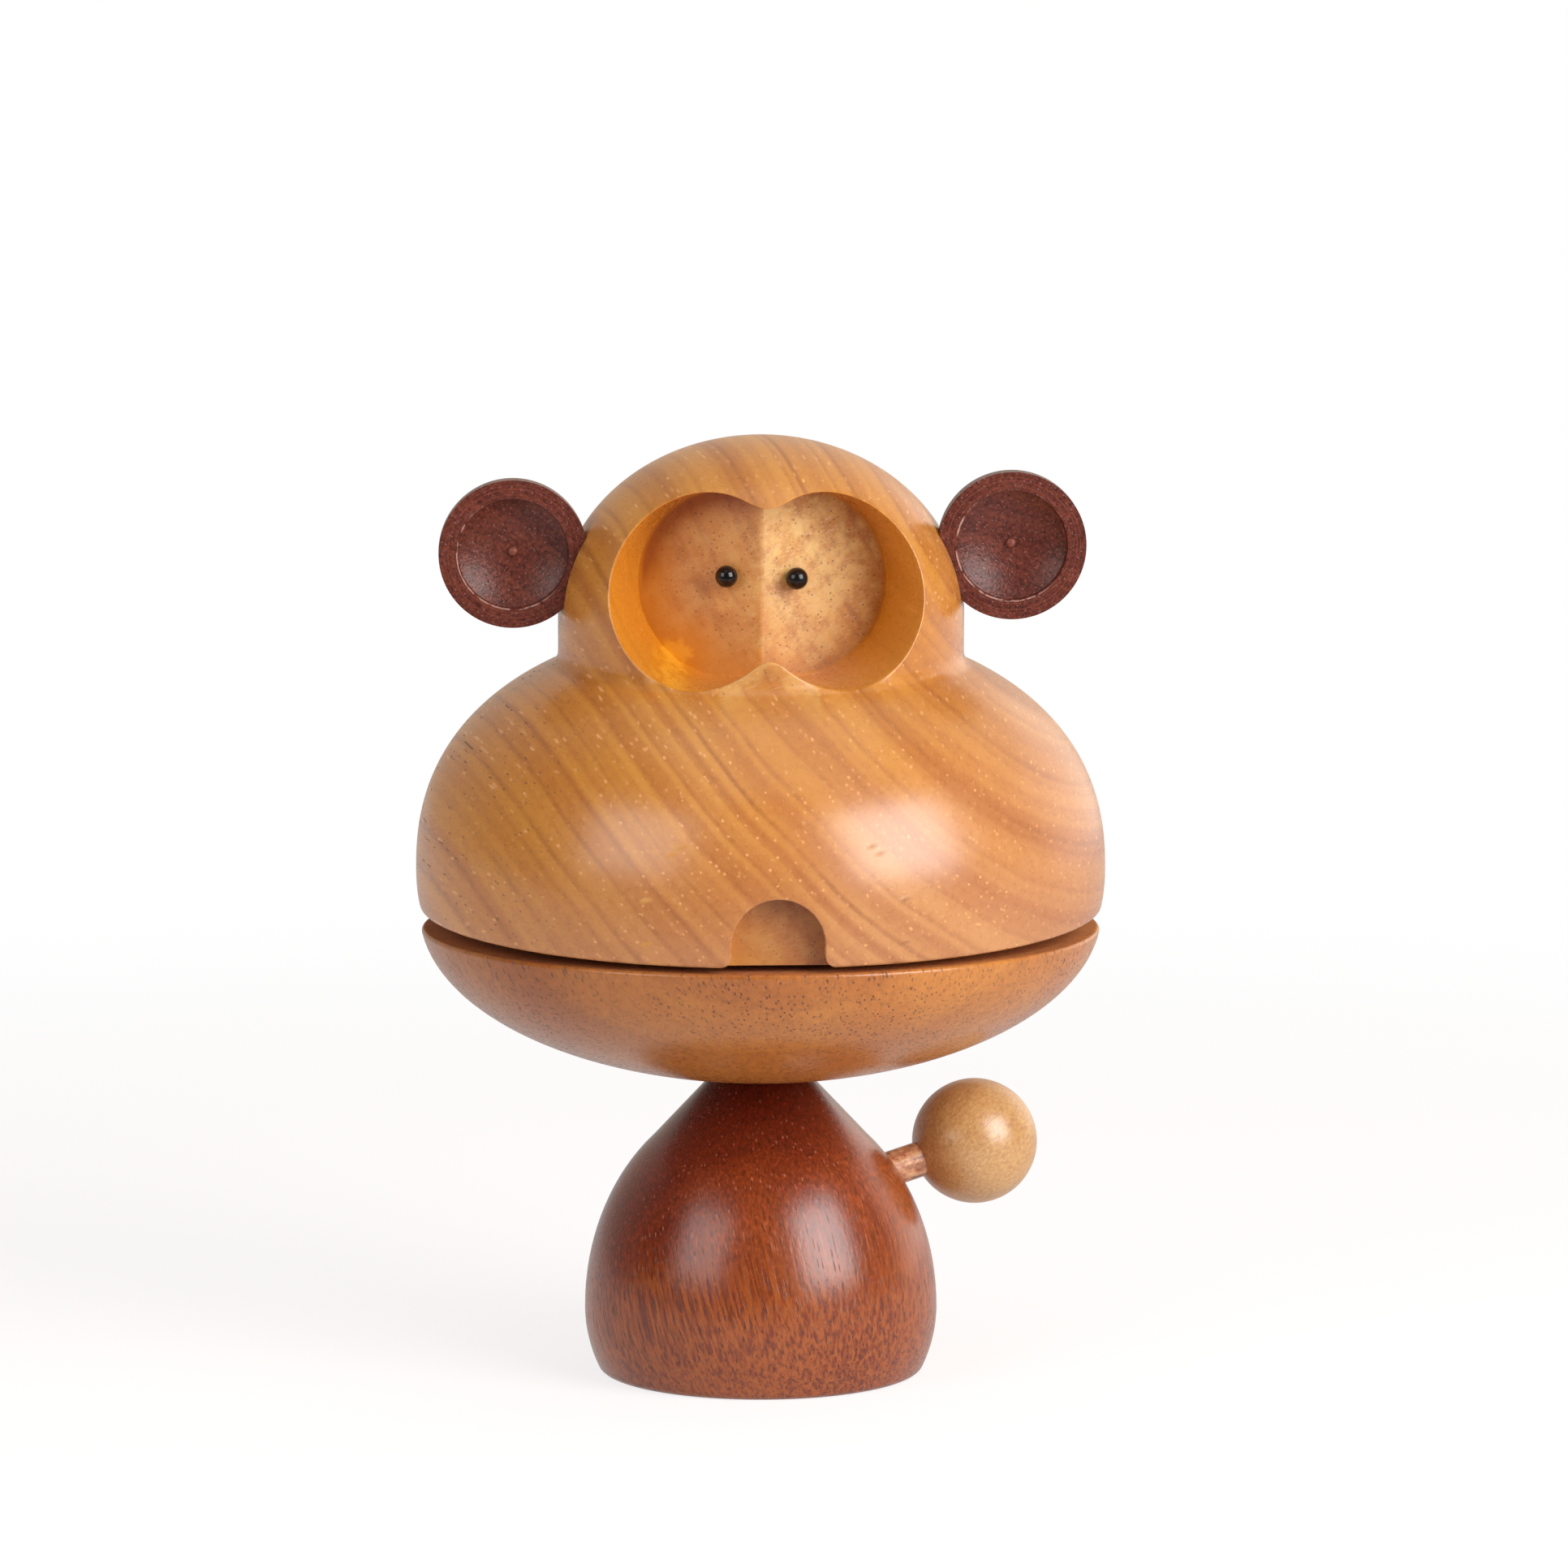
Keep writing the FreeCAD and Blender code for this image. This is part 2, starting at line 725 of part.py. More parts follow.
def eye(side):
    """Black ball that touches the floor of its bore, on a thin pin."""
    middle, out = eye_place(side)
    ball = Part.makeSphere(eye_ball_width / 2, middle + out * (eye_ball_width / 2))
    pin = Part.makeCylinder(eye_pin_width / 2, eye_pin_length + eye_ball_width / 2,
                            middle - out * eye_pin_length, out)
    return ball.fuse(pin)


def board_screw_places():
    """The screws of the board stand in the middle of the ledge that carries it."""
    ledge = (board_width + cavity_width) / 4
    return ring_places(board_screw_count, ledge, board_screw_first_angle)


def movement_board():
    """Plywood disc with a hole for the shaft and countersunk screw holes."""
    board = rod(board_width, board_bottom, board_top)
    cuts = [rod(board_hole_width, board_bottom, board_top)]
    for x, y in board_screw_places():
        cuts.append(rod(board_screw_width, board_bottom, board_top, x, y))
        cuts.append(rod(board_screw_head_width, board_bottom, board_bottom + screw_head_height, x, y))
    for x, y in movement_screw_places:
        cuts.append(rod(movement_screw_width, board_bottom, board_top, x, y))
        cuts.append(rod(movement_screw_head_width, board_bottom, board_bottom + screw_head_height, x, y))
    return board.cut(cuts)


def board_screws():
    """Wood screws through the board into the head's ledge."""
    seat = board_bottom + screw_head_height
    length = board_screw_length - screw_head_height
    screws = []
    for x, y in board_screw_places():
        screws.append(slotted_screw(board_screw_width, length, board_screw_head_width, seat, x, y, True))
    return Part.makeCompound(screws)


def movement_screws():
    """Machine screws through the board into the bedplate."""
    seat = board_bottom + screw_head_height
    screws = []
    for x, y in movement_screw_places:
        screws.append(slotted_screw(movement_screw_width, bed_top - seat, movement_screw_head_width,
                                    seat, x, y, True))
    return Part.makeCompound(screws)


def barrel_ear_places():
    """The middles of the barrel's two screw ears."""
    places = []
    for angle in barrel_ear_angles:
        turn = math.radians(angle)
        places.append((barrel_ear_reach * math.cos(turn), barrel_ear_reach * math.sin(turn)))
    return places


def comb_screw_places():
    """The comb's screws, a quarter of its length in from each end."""
    middle = (comb_back_y + comb_end_y) / 2
    return [(drum_start + drum_length * share, middle) for share in (comb_screw_share, 1 - comb_screw_share)]


def governor_foot_places():
    """The middles of the bracket's feet, left and right of its walls."""
    reach = bracket_inner_width / 2 + bracket_wall + bracket_foot_length / 2
    middle = worm_y - bracket_forward
    return [(governor_x - reach, middle), (governor_x + reach, middle)]


def bedplate():
    """Cast plate with rounded corners, two bearing walls and the comb's platform."""
    plate = block(-bed_left, bed_right, -bed_front, bed_back, board_top, bed_top)
    corners = [edge for edge in plate.Edges if abs(edge.BoundBox.ZLength - bed_thickness) < close]
    plate = plate.makeFillet(bed_corner_round, corners)
    wall_half = bearing_wall_width / 2
    wall_top = cylinder_axis + cylinder_arbor_width
    governor_top = governor_z + governor_arbor_width
    plate = plate.fuse([
        block(left_wall_x, left_wall_x + bearing_wall, -wall_half, wall_half, bed_top, wall_top),
        block(right_wall_x, right_wall_x + bearing_wall, -wall_half, governor_y + governor_arbor_width,
              bed_top, governor_top),
        block(drum_start, drum_end, comb_end_y, comb_back_y, bed_top, comb_bottom),
    ])
    cuts = [
        rod(shaft_width + 2 * bearing_clearance, board_top, bed_top),
        bar_along_x(cylinder_arbor_width + 2 * bearing_clearance, left_wall_x, right_wall_x + bearing_wall,
                    0, cylinder_axis),
        bar_along_x(governor_arbor_width + 2 * bearing_clearance, right_wall_x, right_wall_x + bearing_wall,
                    governor_y, governor_z),
        rod(fly_arbor_width + 2 * bearing_clearance, bed_top - fly_pivot_depth, bed_top, governor_x, worm_y),
    ]
    for x, y in movement_screw_places:
        cuts.append(rod(movement_screw_width, board_top, bed_top, x, y))
    for x, y in barrel_ear_places():
        cuts.append(rod(barrel_screw_width, board_top, bed_top, x, y))
    for x, y in governor_foot_places():
        cuts.append(rod(governor_screw_width, board_top, bed_top, x, y))
    for x, y in comb_screw_places():
        cuts.append(rod(comb_screw_width, bed_top, comb_bottom, x, y))
    return plate.cut(cuts).removeSplitter()


def spring_barrel():
    """Drum open below, closed by the bedplate, with a hole for the shaft and two screw ears."""
    top = bed_top + barrel_height
    drum = rod(barrel_width, bed_top, top)
    for x, y in barrel_ear_places():
        drum = drum.fuse(rod(barrel_ear_width, bed_top, bed_top + barrel_ear_thickness, x, y))
    cuts = [
        rod(barrel_width - 2 * barrel_wall, bed_top, top - barrel_wall),
        rod(shaft_width + 2 * barrel_hole_clearance, bed_top, top),
    ]
    for x, y in barrel_ear_places():
        cuts.append(rod(barrel_screw_width, bed_top, top, x, y))
    return drum.cut(cuts).removeSplitter()


def barrel_screws():
    """Screws through the barrel's ears into the bedplate."""
    seat = bed_top + barrel_ear_thickness
    length = barrel_ear_thickness + bed_thickness
    screws = []
    for x, y in barrel_ear_places():
        screws.append(slotted_screw(barrel_screw_width, length, barrel_screw_head_width,
                                    seat, x, y, False))
    return Part.makeCompound(screws)


def spiral_edge(start_radius, end_radius):
    """A spiral in the xy plane, its radius growing evenly with the angle."""
    steps = spring_points_per_turn * spring_turns
    points = []
    for number in range(steps + 1):
        angle = 2 * math.pi * number / spring_points_per_turn
        radius = start_radius + (end_radius - start_radius) * number / steps
        points.append(Vector(radius * math.cos(angle), radius * math.sin(angle), 0))
    curve = Part.BSplineCurve()
    curve.interpolate(points)
    return curve.toShape(), points[0], points[-1]


def mainspring():
    """Flat spiral strip between the shaft's core and the barrel's wall."""
    inner = shaft_core_width / 2 + spring_side_gap
    outer = barrel_width / 2 - barrel_wall - spring_strip - bearing_clearance
    inside, inside_start, inside_end = spiral_edge(inner, outer)
    outside, outside_start, outside_end = spiral_edge(inner + spring_strip, outer + spring_strip)
    ends = [Part.makeLine(inside_start, outside_start), Part.makeLine(inside_end, outside_end)]
    strip = Part.Face(Part.Wire(Part.__sortEdges__([inside, outside] + ends)))
    return raised(strip.extrude(Vector(0, 0, spring_height)), bed_top + spring_side_gap)


def crown_wheel():
    """Flat wheel on the shaft with radial teeth that hang down into the pinion."""
    wheel = rod(2 * crown_face_outer, crown_bottom, crown_top)
    step = 2 * math.pi * crown_radius / crown_teeth
    tip = crown_tooth_tip * step
    root = crown_tooth_root * step
    low = crown_pitch_plane - crown_addendum
    tooth_face = Part.Face(Part.makePolygon([
        Vector(crown_face_inner, -root / 2, crown_bottom),
        Vector(crown_face_inner, -tip / 2, low),
        Vector(crown_face_inner, tip / 2, low),
        Vector(crown_face_inner, root / 2, crown_bottom),
        Vector(crown_face_inner, -root / 2, crown_bottom),
    ]))
    tooth = tooth_face.extrude(Vector(crown_face_outer - crown_face_inner, 0, 0))
    teeth = []
    for number in range(crown_teeth):
        copy = tooth.copy()
        copy.rotate(Vector(0, 0, 0), Vector(0, 0, 1), 360.0 * number / crown_teeth)
        teeth.append(copy)
    wheel = wheel.fuse(teeth)
    x, y = click_pivot()
    return wheel.cut([rod(shaft_width, low, crown_top), rod(click_screw_width, crown_bottom, crown_top, x, y)])


def click_pivot():
    """The click turns on a screw beside the ratchet wheel."""
    return (-click_length * click_pivot_share, ratchet_width / 2 + click_width / 2)


def ratchet_wheel():
    """Saw-toothed wheel on the shaft, above the crown wheel."""
    outer = ratchet_width / 2
    points = []
    for number in range(ratchet_teeth):
        angle = 2 * math.pi * number / ratchet_teeth
        points.append((outer * math.cos(angle), outer * math.sin(angle)))
        inner = outer - ratchet_tooth_depth
        foot = angle + ratchet_tooth_slant
        points.append((inner * math.cos(foot), inner * math.sin(foot)))
    wheel = raised(polygon_face(points).extrude(Vector(0, 0, ratchet_thickness)), crown_top)
    return wheel.cut(rod(shaft_width, crown_top, ratchet_top))


def click():
    """Small pawl whose nose rests on the ratchet wheel's teeth."""
    x, y = click_pivot()
    pawl = block(x, x + click_length, y - click_width / 2, y + click_width / 2, crown_top,
                 crown_top + click_thickness)
    pawl = pawl.fuse(rod(click_width * click_eye_share, crown_top, crown_top + click_thickness, x, y))
    hole = rod(click_screw_width, crown_top, crown_top + click_thickness, x, y)
    room = rod(ratchet_width + 2 * bearing_clearance, crown_top, ratchet_top)
    return pawl.cut([hole, room]).removeSplitter()


def click_screw():
    """Screw on which the click turns."""
    x, y = click_pivot()
    seat = crown_top + click_thickness
    length = click_thickness + crown_thickness
    return slotted_screw(click_screw_width, length, click_screw_head_width, seat, x, y, False)


def retaining_clip():
    """Open clip that keeps the wheels on the shaft."""
    top = clip_bottom + clip_thickness
    clip = rod(clip_width, clip_bottom, top)
    mouth = block(0, clip_width, -clip_slot / 2, clip_slot / 2, clip_bottom, top)
    return clip.cut([rod(shaft_width, clip_bottom, top), mouth])


def cylinder_arbor():
    """Steel arbor through the pinion, the drum, the gear and both bearing walls."""
    return bar_along_x(cylinder_arbor_width, pinion_x, right_wall_x + bearing_wall, 0, cylinder_axis)


def bored(wheel, width, start, end, y, z):
    """A wheel along x with the arbor's bore through it."""
    return wheel.cut(bar_along_x(width, start, end, y, z))


def cylinder_pinion():
    """Pinion under the crown wheel, a gap between two of its teeth facing up."""
    first = 90.0 + 180.0 / pinion_teeth
    wheel = along_x(toothed_disc(pinion_teeth, crown_module, pinion_face, tooth_share, first),
                    pinion_x, 0, cylinder_axis)
    return bored(wheel, cylinder_arbor_width, pinion_x, pinion_x + pinion_face, 0, cylinder_axis)


def pin_cylinder():
    """Drum with rows of small pins, placed by a rule along and around it."""
    drum = bar_along_x(drum_width, drum_start, drum_end, 0, cylinder_axis)
    pitch = (drum_length - 2 * comb_side_margin) / comb_teeth
    pins = []
    for track in range(comb_teeth):
        x = drum_start + comb_side_margin + pitch * (track + 0.5)
        for number in range(pins_per_track):
            turn = math.radians(track_turn * track + 360.0 * number / pins_per_track + pin_turn * number)
            out = Vector(0, math.cos(turn), math.sin(turn))
            foot = Vector(x, 0, cylinder_axis) + out * (drum_width / 2 - cylinder_pin_height)
            pins.append(Part.makeCylinder(cylinder_pin_width / 2, 2 * cylinder_pin_height, foot, out))
    drum = drum.fuse(pins)
    return bored(drum, cylinder_arbor_width, drum_start, drum_end, 0, cylinder_axis)


def cylinder_gear():
    """Large gear at the drum's end, one tooth facing the governor's pinion."""
    wheel = along_x(toothed_disc(gear_teeth, gear_module, gear_face, tooth_share, governor_angle),
                    gear_x, 0, cylinder_axis)
    return bored(wheel, cylinder_arbor_width, gear_x, gear_x + gear_face, 0, cylinder_axis)


def comb():
    """Steel plate with one tongue for each track of the drum."""
    back = block(drum_start, drum_end, comb_end_y, comb_back_y, comb_bottom, comb_bottom + comb_thickness)
    pitch = (drum_length - 2 * comb_side_margin) / comb_teeth
    tongues = []
    for track in range(comb_teeth):
        x = drum_start + comb_side_margin + pitch * track + comb_tooth_gap / 2
        tongues.append(block(x, x + pitch - comb_tooth_gap, comb_back_y - comb_tooth_root, comb_tip_y,
                             comb_bottom, comb_bottom + comb_thickness))
    plate = back.fuse(tongues).removeSplitter()
    holes = [rod(comb_screw_width, comb_bottom, comb_bottom + comb_thickness, x, y)
             for x, y in comb_screw_places()]
    return plate.cut(holes)


def comb_screws():
    """Screws through the comb into its platform."""
    seat = comb_bottom + comb_thickness
    screws = []
    for x, y in comb_screw_places():
        screws.append(slotted_screw(comb_screw_width, seat - bed_top, comb_screw_head_width,
                                    seat, x, y, False))
    return Part.makeCompound(screws)


def governor_bracket():
    """Bent bracket: two walls with feet, and a bridge over the worm."""
    inner = bracket_inner_width / 2
    outer = inner + bracket_wall
    front = worm_y - bracket_length / 2 - bracket_forward
    back = front + bracket_length
    top = bed_top + bracket_height
    left, right = governor_foot_places()
    foot_half = bracket_foot_width / 2
    parts = [
        block(governor_x - outer, governor_x - inner, front, back, bed_top, top),
        block(governor_x + inner, governor_x + outer, front, back, bed_top, top),
        block(governor_x - outer, governor_x + outer, front, back, top - bracket_wall, top),
        block(left[0] - bracket_foot_length / 2, governor_x - inner, left[1] - foot_half,
              left[1] + foot_half, bed_top, bed_top + bracket_wall),
        block(governor_x + inner, right[0] + bracket_foot_length / 2, right[1] - foot_half,
              right[1] + foot_half, bed_top, bed_top + bracket_wall),
    ]
    shape = parts[0].fuse(parts[1:]).removeSplitter()
    cuts = [
        bar_along_x(governor_arbor_width + 2 * bearing_clearance, governor_x - outer,
                    governor_x + outer, governor_y, governor_z),
        rod(fly_arbor_width + 2 * bearing_clearance, top - bracket_wall, top, governor_x, worm_y),
    ]
    for x, y in (left, right):
        cuts.append(rod(governor_screw_width, bed_top, bed_top + bracket_wall, x, y))
    return shape.cut(cuts)


def governor_screws():
    """Screws through the bracket's feet into the bedplate."""
    seat = bed_top + bracket_wall
    length = bracket_wall + bed_thickness
    screws = []
    for x, y in governor_foot_places():
        screws.append(slotted_screw(governor_screw_width, length, governor_screw_head_width,
                                    seat, x, y, False))
    return Part.makeCompound(screws)


def governor_arbor():
    """Thin arbor through the bracket's walls and the right bearing wall."""
    start = governor_x - bracket_inner_width / 2 - bracket_wall
    return bar_along_x(governor_arbor_width, start, right_wall_x + bearing_wall, governor_y, governor_z)


def governor_pinion():
    """Pinion beside the large gear, a gap between two teeth facing it."""
    first = governor_angle + 180.0 + 180.0 / governor_teeth
    wheel = along_x(toothed_disc(governor_teeth, gear_module, gear_face, tooth_share, first),
                    gear_x, governor_y, governor_z)
    return bored(wheel, governor_arbor_width, gear_x, gear_x + gear_face, governor_y, governor_z)


def worm_wheel():
    """Small wheel that turns the worm, a gap between two teeth facing it."""
    module = worm_lead / math.pi
    start = governor_x - worm_wheel_face / 2
    wheel = along_x(toothed_disc(worm_wheel_teeth, module, worm_wheel_face, tooth_share,
                                 180.0 / worm_wheel_teeth), start, governor_y, governor_z)
    return bored(wheel, governor_arbor_width, start, start + worm_wheel_face, governor_y, governor_z)


def fly_worm():
    """Endless screw on the fly's upright arbor: a thin thread wound on a core."""
    depth = tooth_tip_height * worm_lead / math.pi
    core = worm_width - 2 * depth
    thread_start = governor_z - worm_lead * (worm_phase + worm_turns // 2)
    helix = Part.makeHelix(worm_lead, worm_lead * worm_turns, core / 2)
    low = worm_thread_root * worm_lead / 2
    tip = worm_thread_tip * worm_lead / 2
    inside = core / 2 - worm_thread_sink
    outside = worm_width / 2 + depth * worm_thread_height
    section = Part.makePolygon([
        Vector(inside, 0, -low), Vector(outside, 0, -tip), Vector(outside, 0, tip),
        Vector(inside, 0, low), Vector(inside, 0, -low),
    ])
    thread = Part.Wire(helix.Edges).makePipeShell([section], True, True)
    thread.translate(Vector(governor_x, worm_y, thread_start))
    end_cover = worm_lead / 2
    stem = rod(core, thread_start - end_cover, thread_start + worm_lead * worm_turns + end_cover,
               governor_x, worm_y)
    arbor = rod(fly_arbor_width, bed_top - fly_pivot_depth + stack_gap, bed_top + bracket_height,
                governor_x, worm_y)
    return stem.fuse([thread, arbor])


def fly_vane():
    """Thin two-bladed vane with a round hub, pressed on the arbor under the worm."""
    low = bed_top + fly_bottom
    high = low + fly_height
    vane = block(governor_x - fly_width / 2, governor_x + fly_width / 2, worm_y - fly_thickness / 2,
                 worm_y + fly_thickness / 2, low, high)
    hub = rod(fly_arbor_width + 2 * fly_hub_wall, low, high, governor_x, worm_y)
    return vane.fuse(hub).cut(rod(fly_arbor_width, low, high, governor_x, worm_y)).removeSplitter()


def tail_peg():
    """Round dowel from the bore of the body into the ball."""
    return pointed_along(Part.makeCylinder(tail_peg_width / 2, tail_peg_length), tail_peg_start(),
                         tail_direction())


def tail_ball():
    """Turned ball with a blind hole for the dowel."""
    ball = Part.makeSphere(tail_ball_width / 2, tail_ball_middle())
    return ball.cut(tail_peg())


pieces = {
    "body": body(),
    "jaw": jaw(),
    "body_screw": body_screw(),
    "body_washer": body_washer(),
    "jaw_insert": jaw_insert(),
    "shaft_hub": shaft_hub(),
    "hub_screws": hub_screws(),
    "winding_shaft": winding_shaft(),
    "thrust_washer": thrust_washer(),
    "crown_wheel": crown_wheel(),
    "ratchet_wheel": ratchet_wheel(),
    "click": click(),
    "click_screw": click_screw(),
    "retaining_clip": retaining_clip(),
    "head_block": head_block(),
    "left_ear": ear(-1),
    "right_ear": ear(1),
    "ear_dowels": ear_dowels(),
    "left_eye": eye(-1),
    "right_eye": eye(1),
    "movement_board": movement_board(),
    "board_screws": board_screws(),
    "bedplate": bedplate(),
    "movement_screws": movement_screws(),
    "spring_barrel": spring_barrel(),
    "barrel_screws": barrel_screws(),
    "mainspring": mainspring(),
    "comb": comb(),
    "comb_screws": comb_screws(),
    "governor_bracket": governor_bracket(),
    "governor_screws": governor_screws(),
    "cylinder_arbor": cylinder_arbor(),
    "cylinder_pinion": cylinder_pinion(),
    "pin_cylinder": pin_cylinder(),
    "cylinder_gear": cylinder_gear(),
    "governor_arbor": governor_arbor(),
    "governor_pinion": governor_pinion(),
    "worm_wheel": worm_wheel(),
    "fly_worm": fly_worm(),
    "fly_vane": fly_vane(),
    "tail_peg": tail_peg(),
    "tail_ball": tail_ball(),
}

os.makedirs("parts", exist_ok=True)
for name, shape in pieces.items():
    print(name, len(shape.Solids), "solids, valid", shape.isValid(), "volume", round(shape.Volume, 3))
    shape.exportStep("parts/" + name + ".step")
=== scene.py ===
# %% [markdown]
# # A turned wooden music box, dressed for its photograph
#
# The object is a small monkey turned in wood: a wide head on a shallow jaw, a bell-shaped body, round ears
# and a ball tail. The head turns, and it hides a wind-up movement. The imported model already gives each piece
# its shape and its place, so this lesson is about wood, brass, steel and light.

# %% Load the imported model
import json
import math
import bmesh
import bpy
import numpy as np
from mathutils import Matrix, Vector


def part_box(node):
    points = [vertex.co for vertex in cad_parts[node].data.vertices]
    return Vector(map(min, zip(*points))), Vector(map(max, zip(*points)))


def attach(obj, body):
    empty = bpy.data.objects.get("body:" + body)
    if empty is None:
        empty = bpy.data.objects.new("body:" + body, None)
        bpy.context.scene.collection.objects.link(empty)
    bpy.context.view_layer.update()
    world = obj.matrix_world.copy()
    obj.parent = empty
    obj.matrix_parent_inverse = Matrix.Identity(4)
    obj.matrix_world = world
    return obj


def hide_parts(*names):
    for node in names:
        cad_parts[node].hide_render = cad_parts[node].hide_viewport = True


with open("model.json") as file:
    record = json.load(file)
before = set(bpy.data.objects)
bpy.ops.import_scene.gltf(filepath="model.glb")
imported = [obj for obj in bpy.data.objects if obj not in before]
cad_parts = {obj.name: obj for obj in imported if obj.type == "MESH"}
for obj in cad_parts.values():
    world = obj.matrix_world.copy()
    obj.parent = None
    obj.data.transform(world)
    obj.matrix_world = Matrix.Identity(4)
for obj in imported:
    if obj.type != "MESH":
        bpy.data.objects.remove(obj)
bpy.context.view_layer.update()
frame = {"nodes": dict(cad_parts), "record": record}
print("pieces in the model:", len(frame["nodes"]))

# %% [markdown]
# ## The camera
#
# The photograph was taken with a long lens, a little above the head, so the outlines hardly converge. A long
# lens far away gives the same calm outlines. The figure stands turned by two and a half degrees, which could
# be done by turning it, but here the camera walks round it, because the model stays where it is.

# %% Place the camera
def placed(name, data):
    """A new object that holds that data, in the scene."""
    made = bpy.data.objects.new(name, data)
    bpy.context.scene.collection.objects.link(made)
    return made


camera_distance = 1.060
camera_height = 0.2194
turned_by = math.radians(2.5)
figure_left_of_middle = 0.0034
looking_down = math.radians(7.165)
lens_in_frame_widths = 9080 / 1932
sensor_width = 36.0

heading = turned_by + math.atan2(figure_left_of_middle, camera_distance)
camera_data = bpy.data.cameras.new("photo_camera")
camera_data.sensor_fit = "HORIZONTAL"
camera_data.sensor_width = sensor_width
camera_data.lens = sensor_width * lens_in_frame_widths
camera = placed("photo_camera", camera_data)
camera.location = (-camera_distance * math.sin(turned_by), -camera_distance * math.cos(turned_by),
                   camera_height)
camera.rotation_euler = (math.pi / 2 - looking_down, 0, -heading)
bpy.context.scene.camera = camera
print("lens:", round(camera_data.lens, 1), "mm")

# %% [markdown]
# ## Light
#
# Two square highlights on the cheeks show two soft boxes in front of the figure, the right one stronger. The
# bright right edges show a third one at its side, and the other pale edges a white room. Area lamps and a
# white world make the same. Point lamps would give hard shadows, and a picture of a room would be one more
# file to keep.

# %% Hang the soft boxes
aim = Vector((0, 0, 0.07))


def soft_box(name, azimuth, elevation, distance, width, height, power):
    """A lamp at an angle round the figure (0 is in front, positive to the right) that looks at its middle."""
    lamp = bpy.data.lights.new(name, "AREA")
    lamp.shape = "RECTANGLE"
    lamp.size, lamp.size_y = width, height
    lamp.energy = power
    hung = placed(name, lamp)
    a, e = math.radians(azimuth), math.radians(elevation)
    away = Vector((math.sin(a) * math.cos(e), -math.cos(a) * math.cos(e), math.sin(e)))
    hung.location = aim + away * distance
    hung.rotation_euler = away.to_track_quat("Z", "Y").to_euler()


soft_box("right_soft_box", azimuth=46, elevation=24, distance=0.80, width=0.52, height=0.54, power=6.1)
soft_box("left_soft_box", azimuth=-46, elevation=24, distance=0.80, width=0.46, height=0.48, power=1.9)
soft_box("top_soft_box", azimuth=10, elevation=78, distance=0.90, width=0.80, height=0.80, power=1.6)
soft_box("right_side_box", azimuth=132, elevation=10, distance=0.90, width=0.80, height=0.60, power=0.9)
print("lamps:", len(bpy.data.lights))

# %% Helpers for nodes
def add(where, kind, **settings):
    """A new node of that kind, in a tree or in the tree of a socket. Settings are its own fields, and words
    such as Base_Color name its sockets."""
    made = where.id_data.nodes.new(kind)
    for word, value in settings.items():
        if hasattr(made, word):
            setattr(made, word, value)
        else:
            made.inputs[word.replace("_", " ")].default_value = value
    return made


def cleared(made):
    """The tree of a new material or world, with no nodes in it."""
    made.use_nodes = True
    made.node_tree.nodes.clear()
    return made.node_tree


def join(*pairs):
    """Links each pair of an output socket and an input socket."""
    for out, into in pairs:
        into.id_data.links.new(out, into)


def feed(part, socket):
    """Puts a number, a colour or another node's output into a socket."""
    if isinstance(part, (int, float)):
        socket.default_value = part
    elif isinstance(part, tuple):
        socket.default_value = (*part, 1)
    else:
        join((part, socket))


def any_ray(tree, *kinds):
    """1 for rays of those kinds, such as Camera, and 0 for the others, which carry soft light."""
    path = add(tree, "ShaderNodeLightPath")
    found = path.outputs[f"Is {kinds[0]} Ray"]
    for kind in kinds[1:]:
        either = add(tree, "ShaderNodeMath", operation="MAXIMUM")
        join((found, either.inputs[0]), (path.outputs[f"Is {kind} Ray"], either.inputs[1]))
        found = either.outputs[0]
    return found


def mixed(amount, first, second):
    """The first shader, replaced by the second one where amount is 1."""
    made = add(amount, "ShaderNodeMixShader")
    join((amount, made.inputs[0]), (first, made.inputs[1]), (second, made.inputs[2]))
    return made.outputs[0]


def from_to(value, low, high, to_low=0.0, to_high=1.0):
    """The value carried smoothly from the range low..high to the range to_low..to_high."""
    made = add(value, "ShaderNodeMapRange", interpolation_type="SMOOTHSTEP")
    for socket, number in zip(("From Min", "From Max", "To Min", "To Max"), (low, high, to_low, to_high)):
        made.inputs[socket].default_value = number
    join((value, made.inputs["Value"]))
    return made.outputs[0]


# %% [markdown]
# ## The white room
#
# The camera sees plain white. What polished wood mirrors is dim in front, bright behind and brighter on the
# right, and the soft light comes mostly from behind. One even white would flatten the figure.

# %% Paint the world white
mirrored_front, mirrored_behind = 0.03, 0.8
mirrored_left, mirrored_right = 0.6, 1.3
soft_front, soft_behind = 0.10, 0.36
world = bpy.data.worlds.new("white_room")
bpy.context.scene.world = world
tree = cleared(world)
direction = add(tree, "ShaderNodeTexCoord")
split = add(tree, "ShaderNodeSeparateXYZ")
seen = add(tree, "ShaderNodeBackground", Color=(1, 1, 1, 1), Strength=1.0)
mirrored = add(tree, "ShaderNodeBackground", Color=(1, 0.90, 0.78, 1))
soft = add(tree, "ShaderNodeBackground", Color=(1, 0.97, 0.94, 1))
strength = add(tree, "ShaderNodeMath", operation="MULTIPLY")
out = add(tree, "ShaderNodeOutputWorld")
join((direction.outputs["Generated"], split.inputs[0]))
deep = from_to(split.outputs["Y"], -0.15, 0.75, mirrored_front, mirrored_behind)
join((deep, strength.inputs[0]),
     (from_to(split.outputs["X"], -0.7, 0.7, mirrored_left, mirrored_right), strength.inputs[1]),
     (strength.outputs[0], mirrored.inputs["Strength"]),
     (from_to(split.outputs["Y"], -0.4, 0.6, soft_front, soft_behind), soft.inputs["Strength"]))
room = mixed(any_ray(tree, "Glossy"), soft.outputs[0], mirrored.outputs[0])
around = mixed(any_ray(tree, "Camera", "Transmission"), room, seen.outputs[0])
join((around, out.inputs["Surface"]))
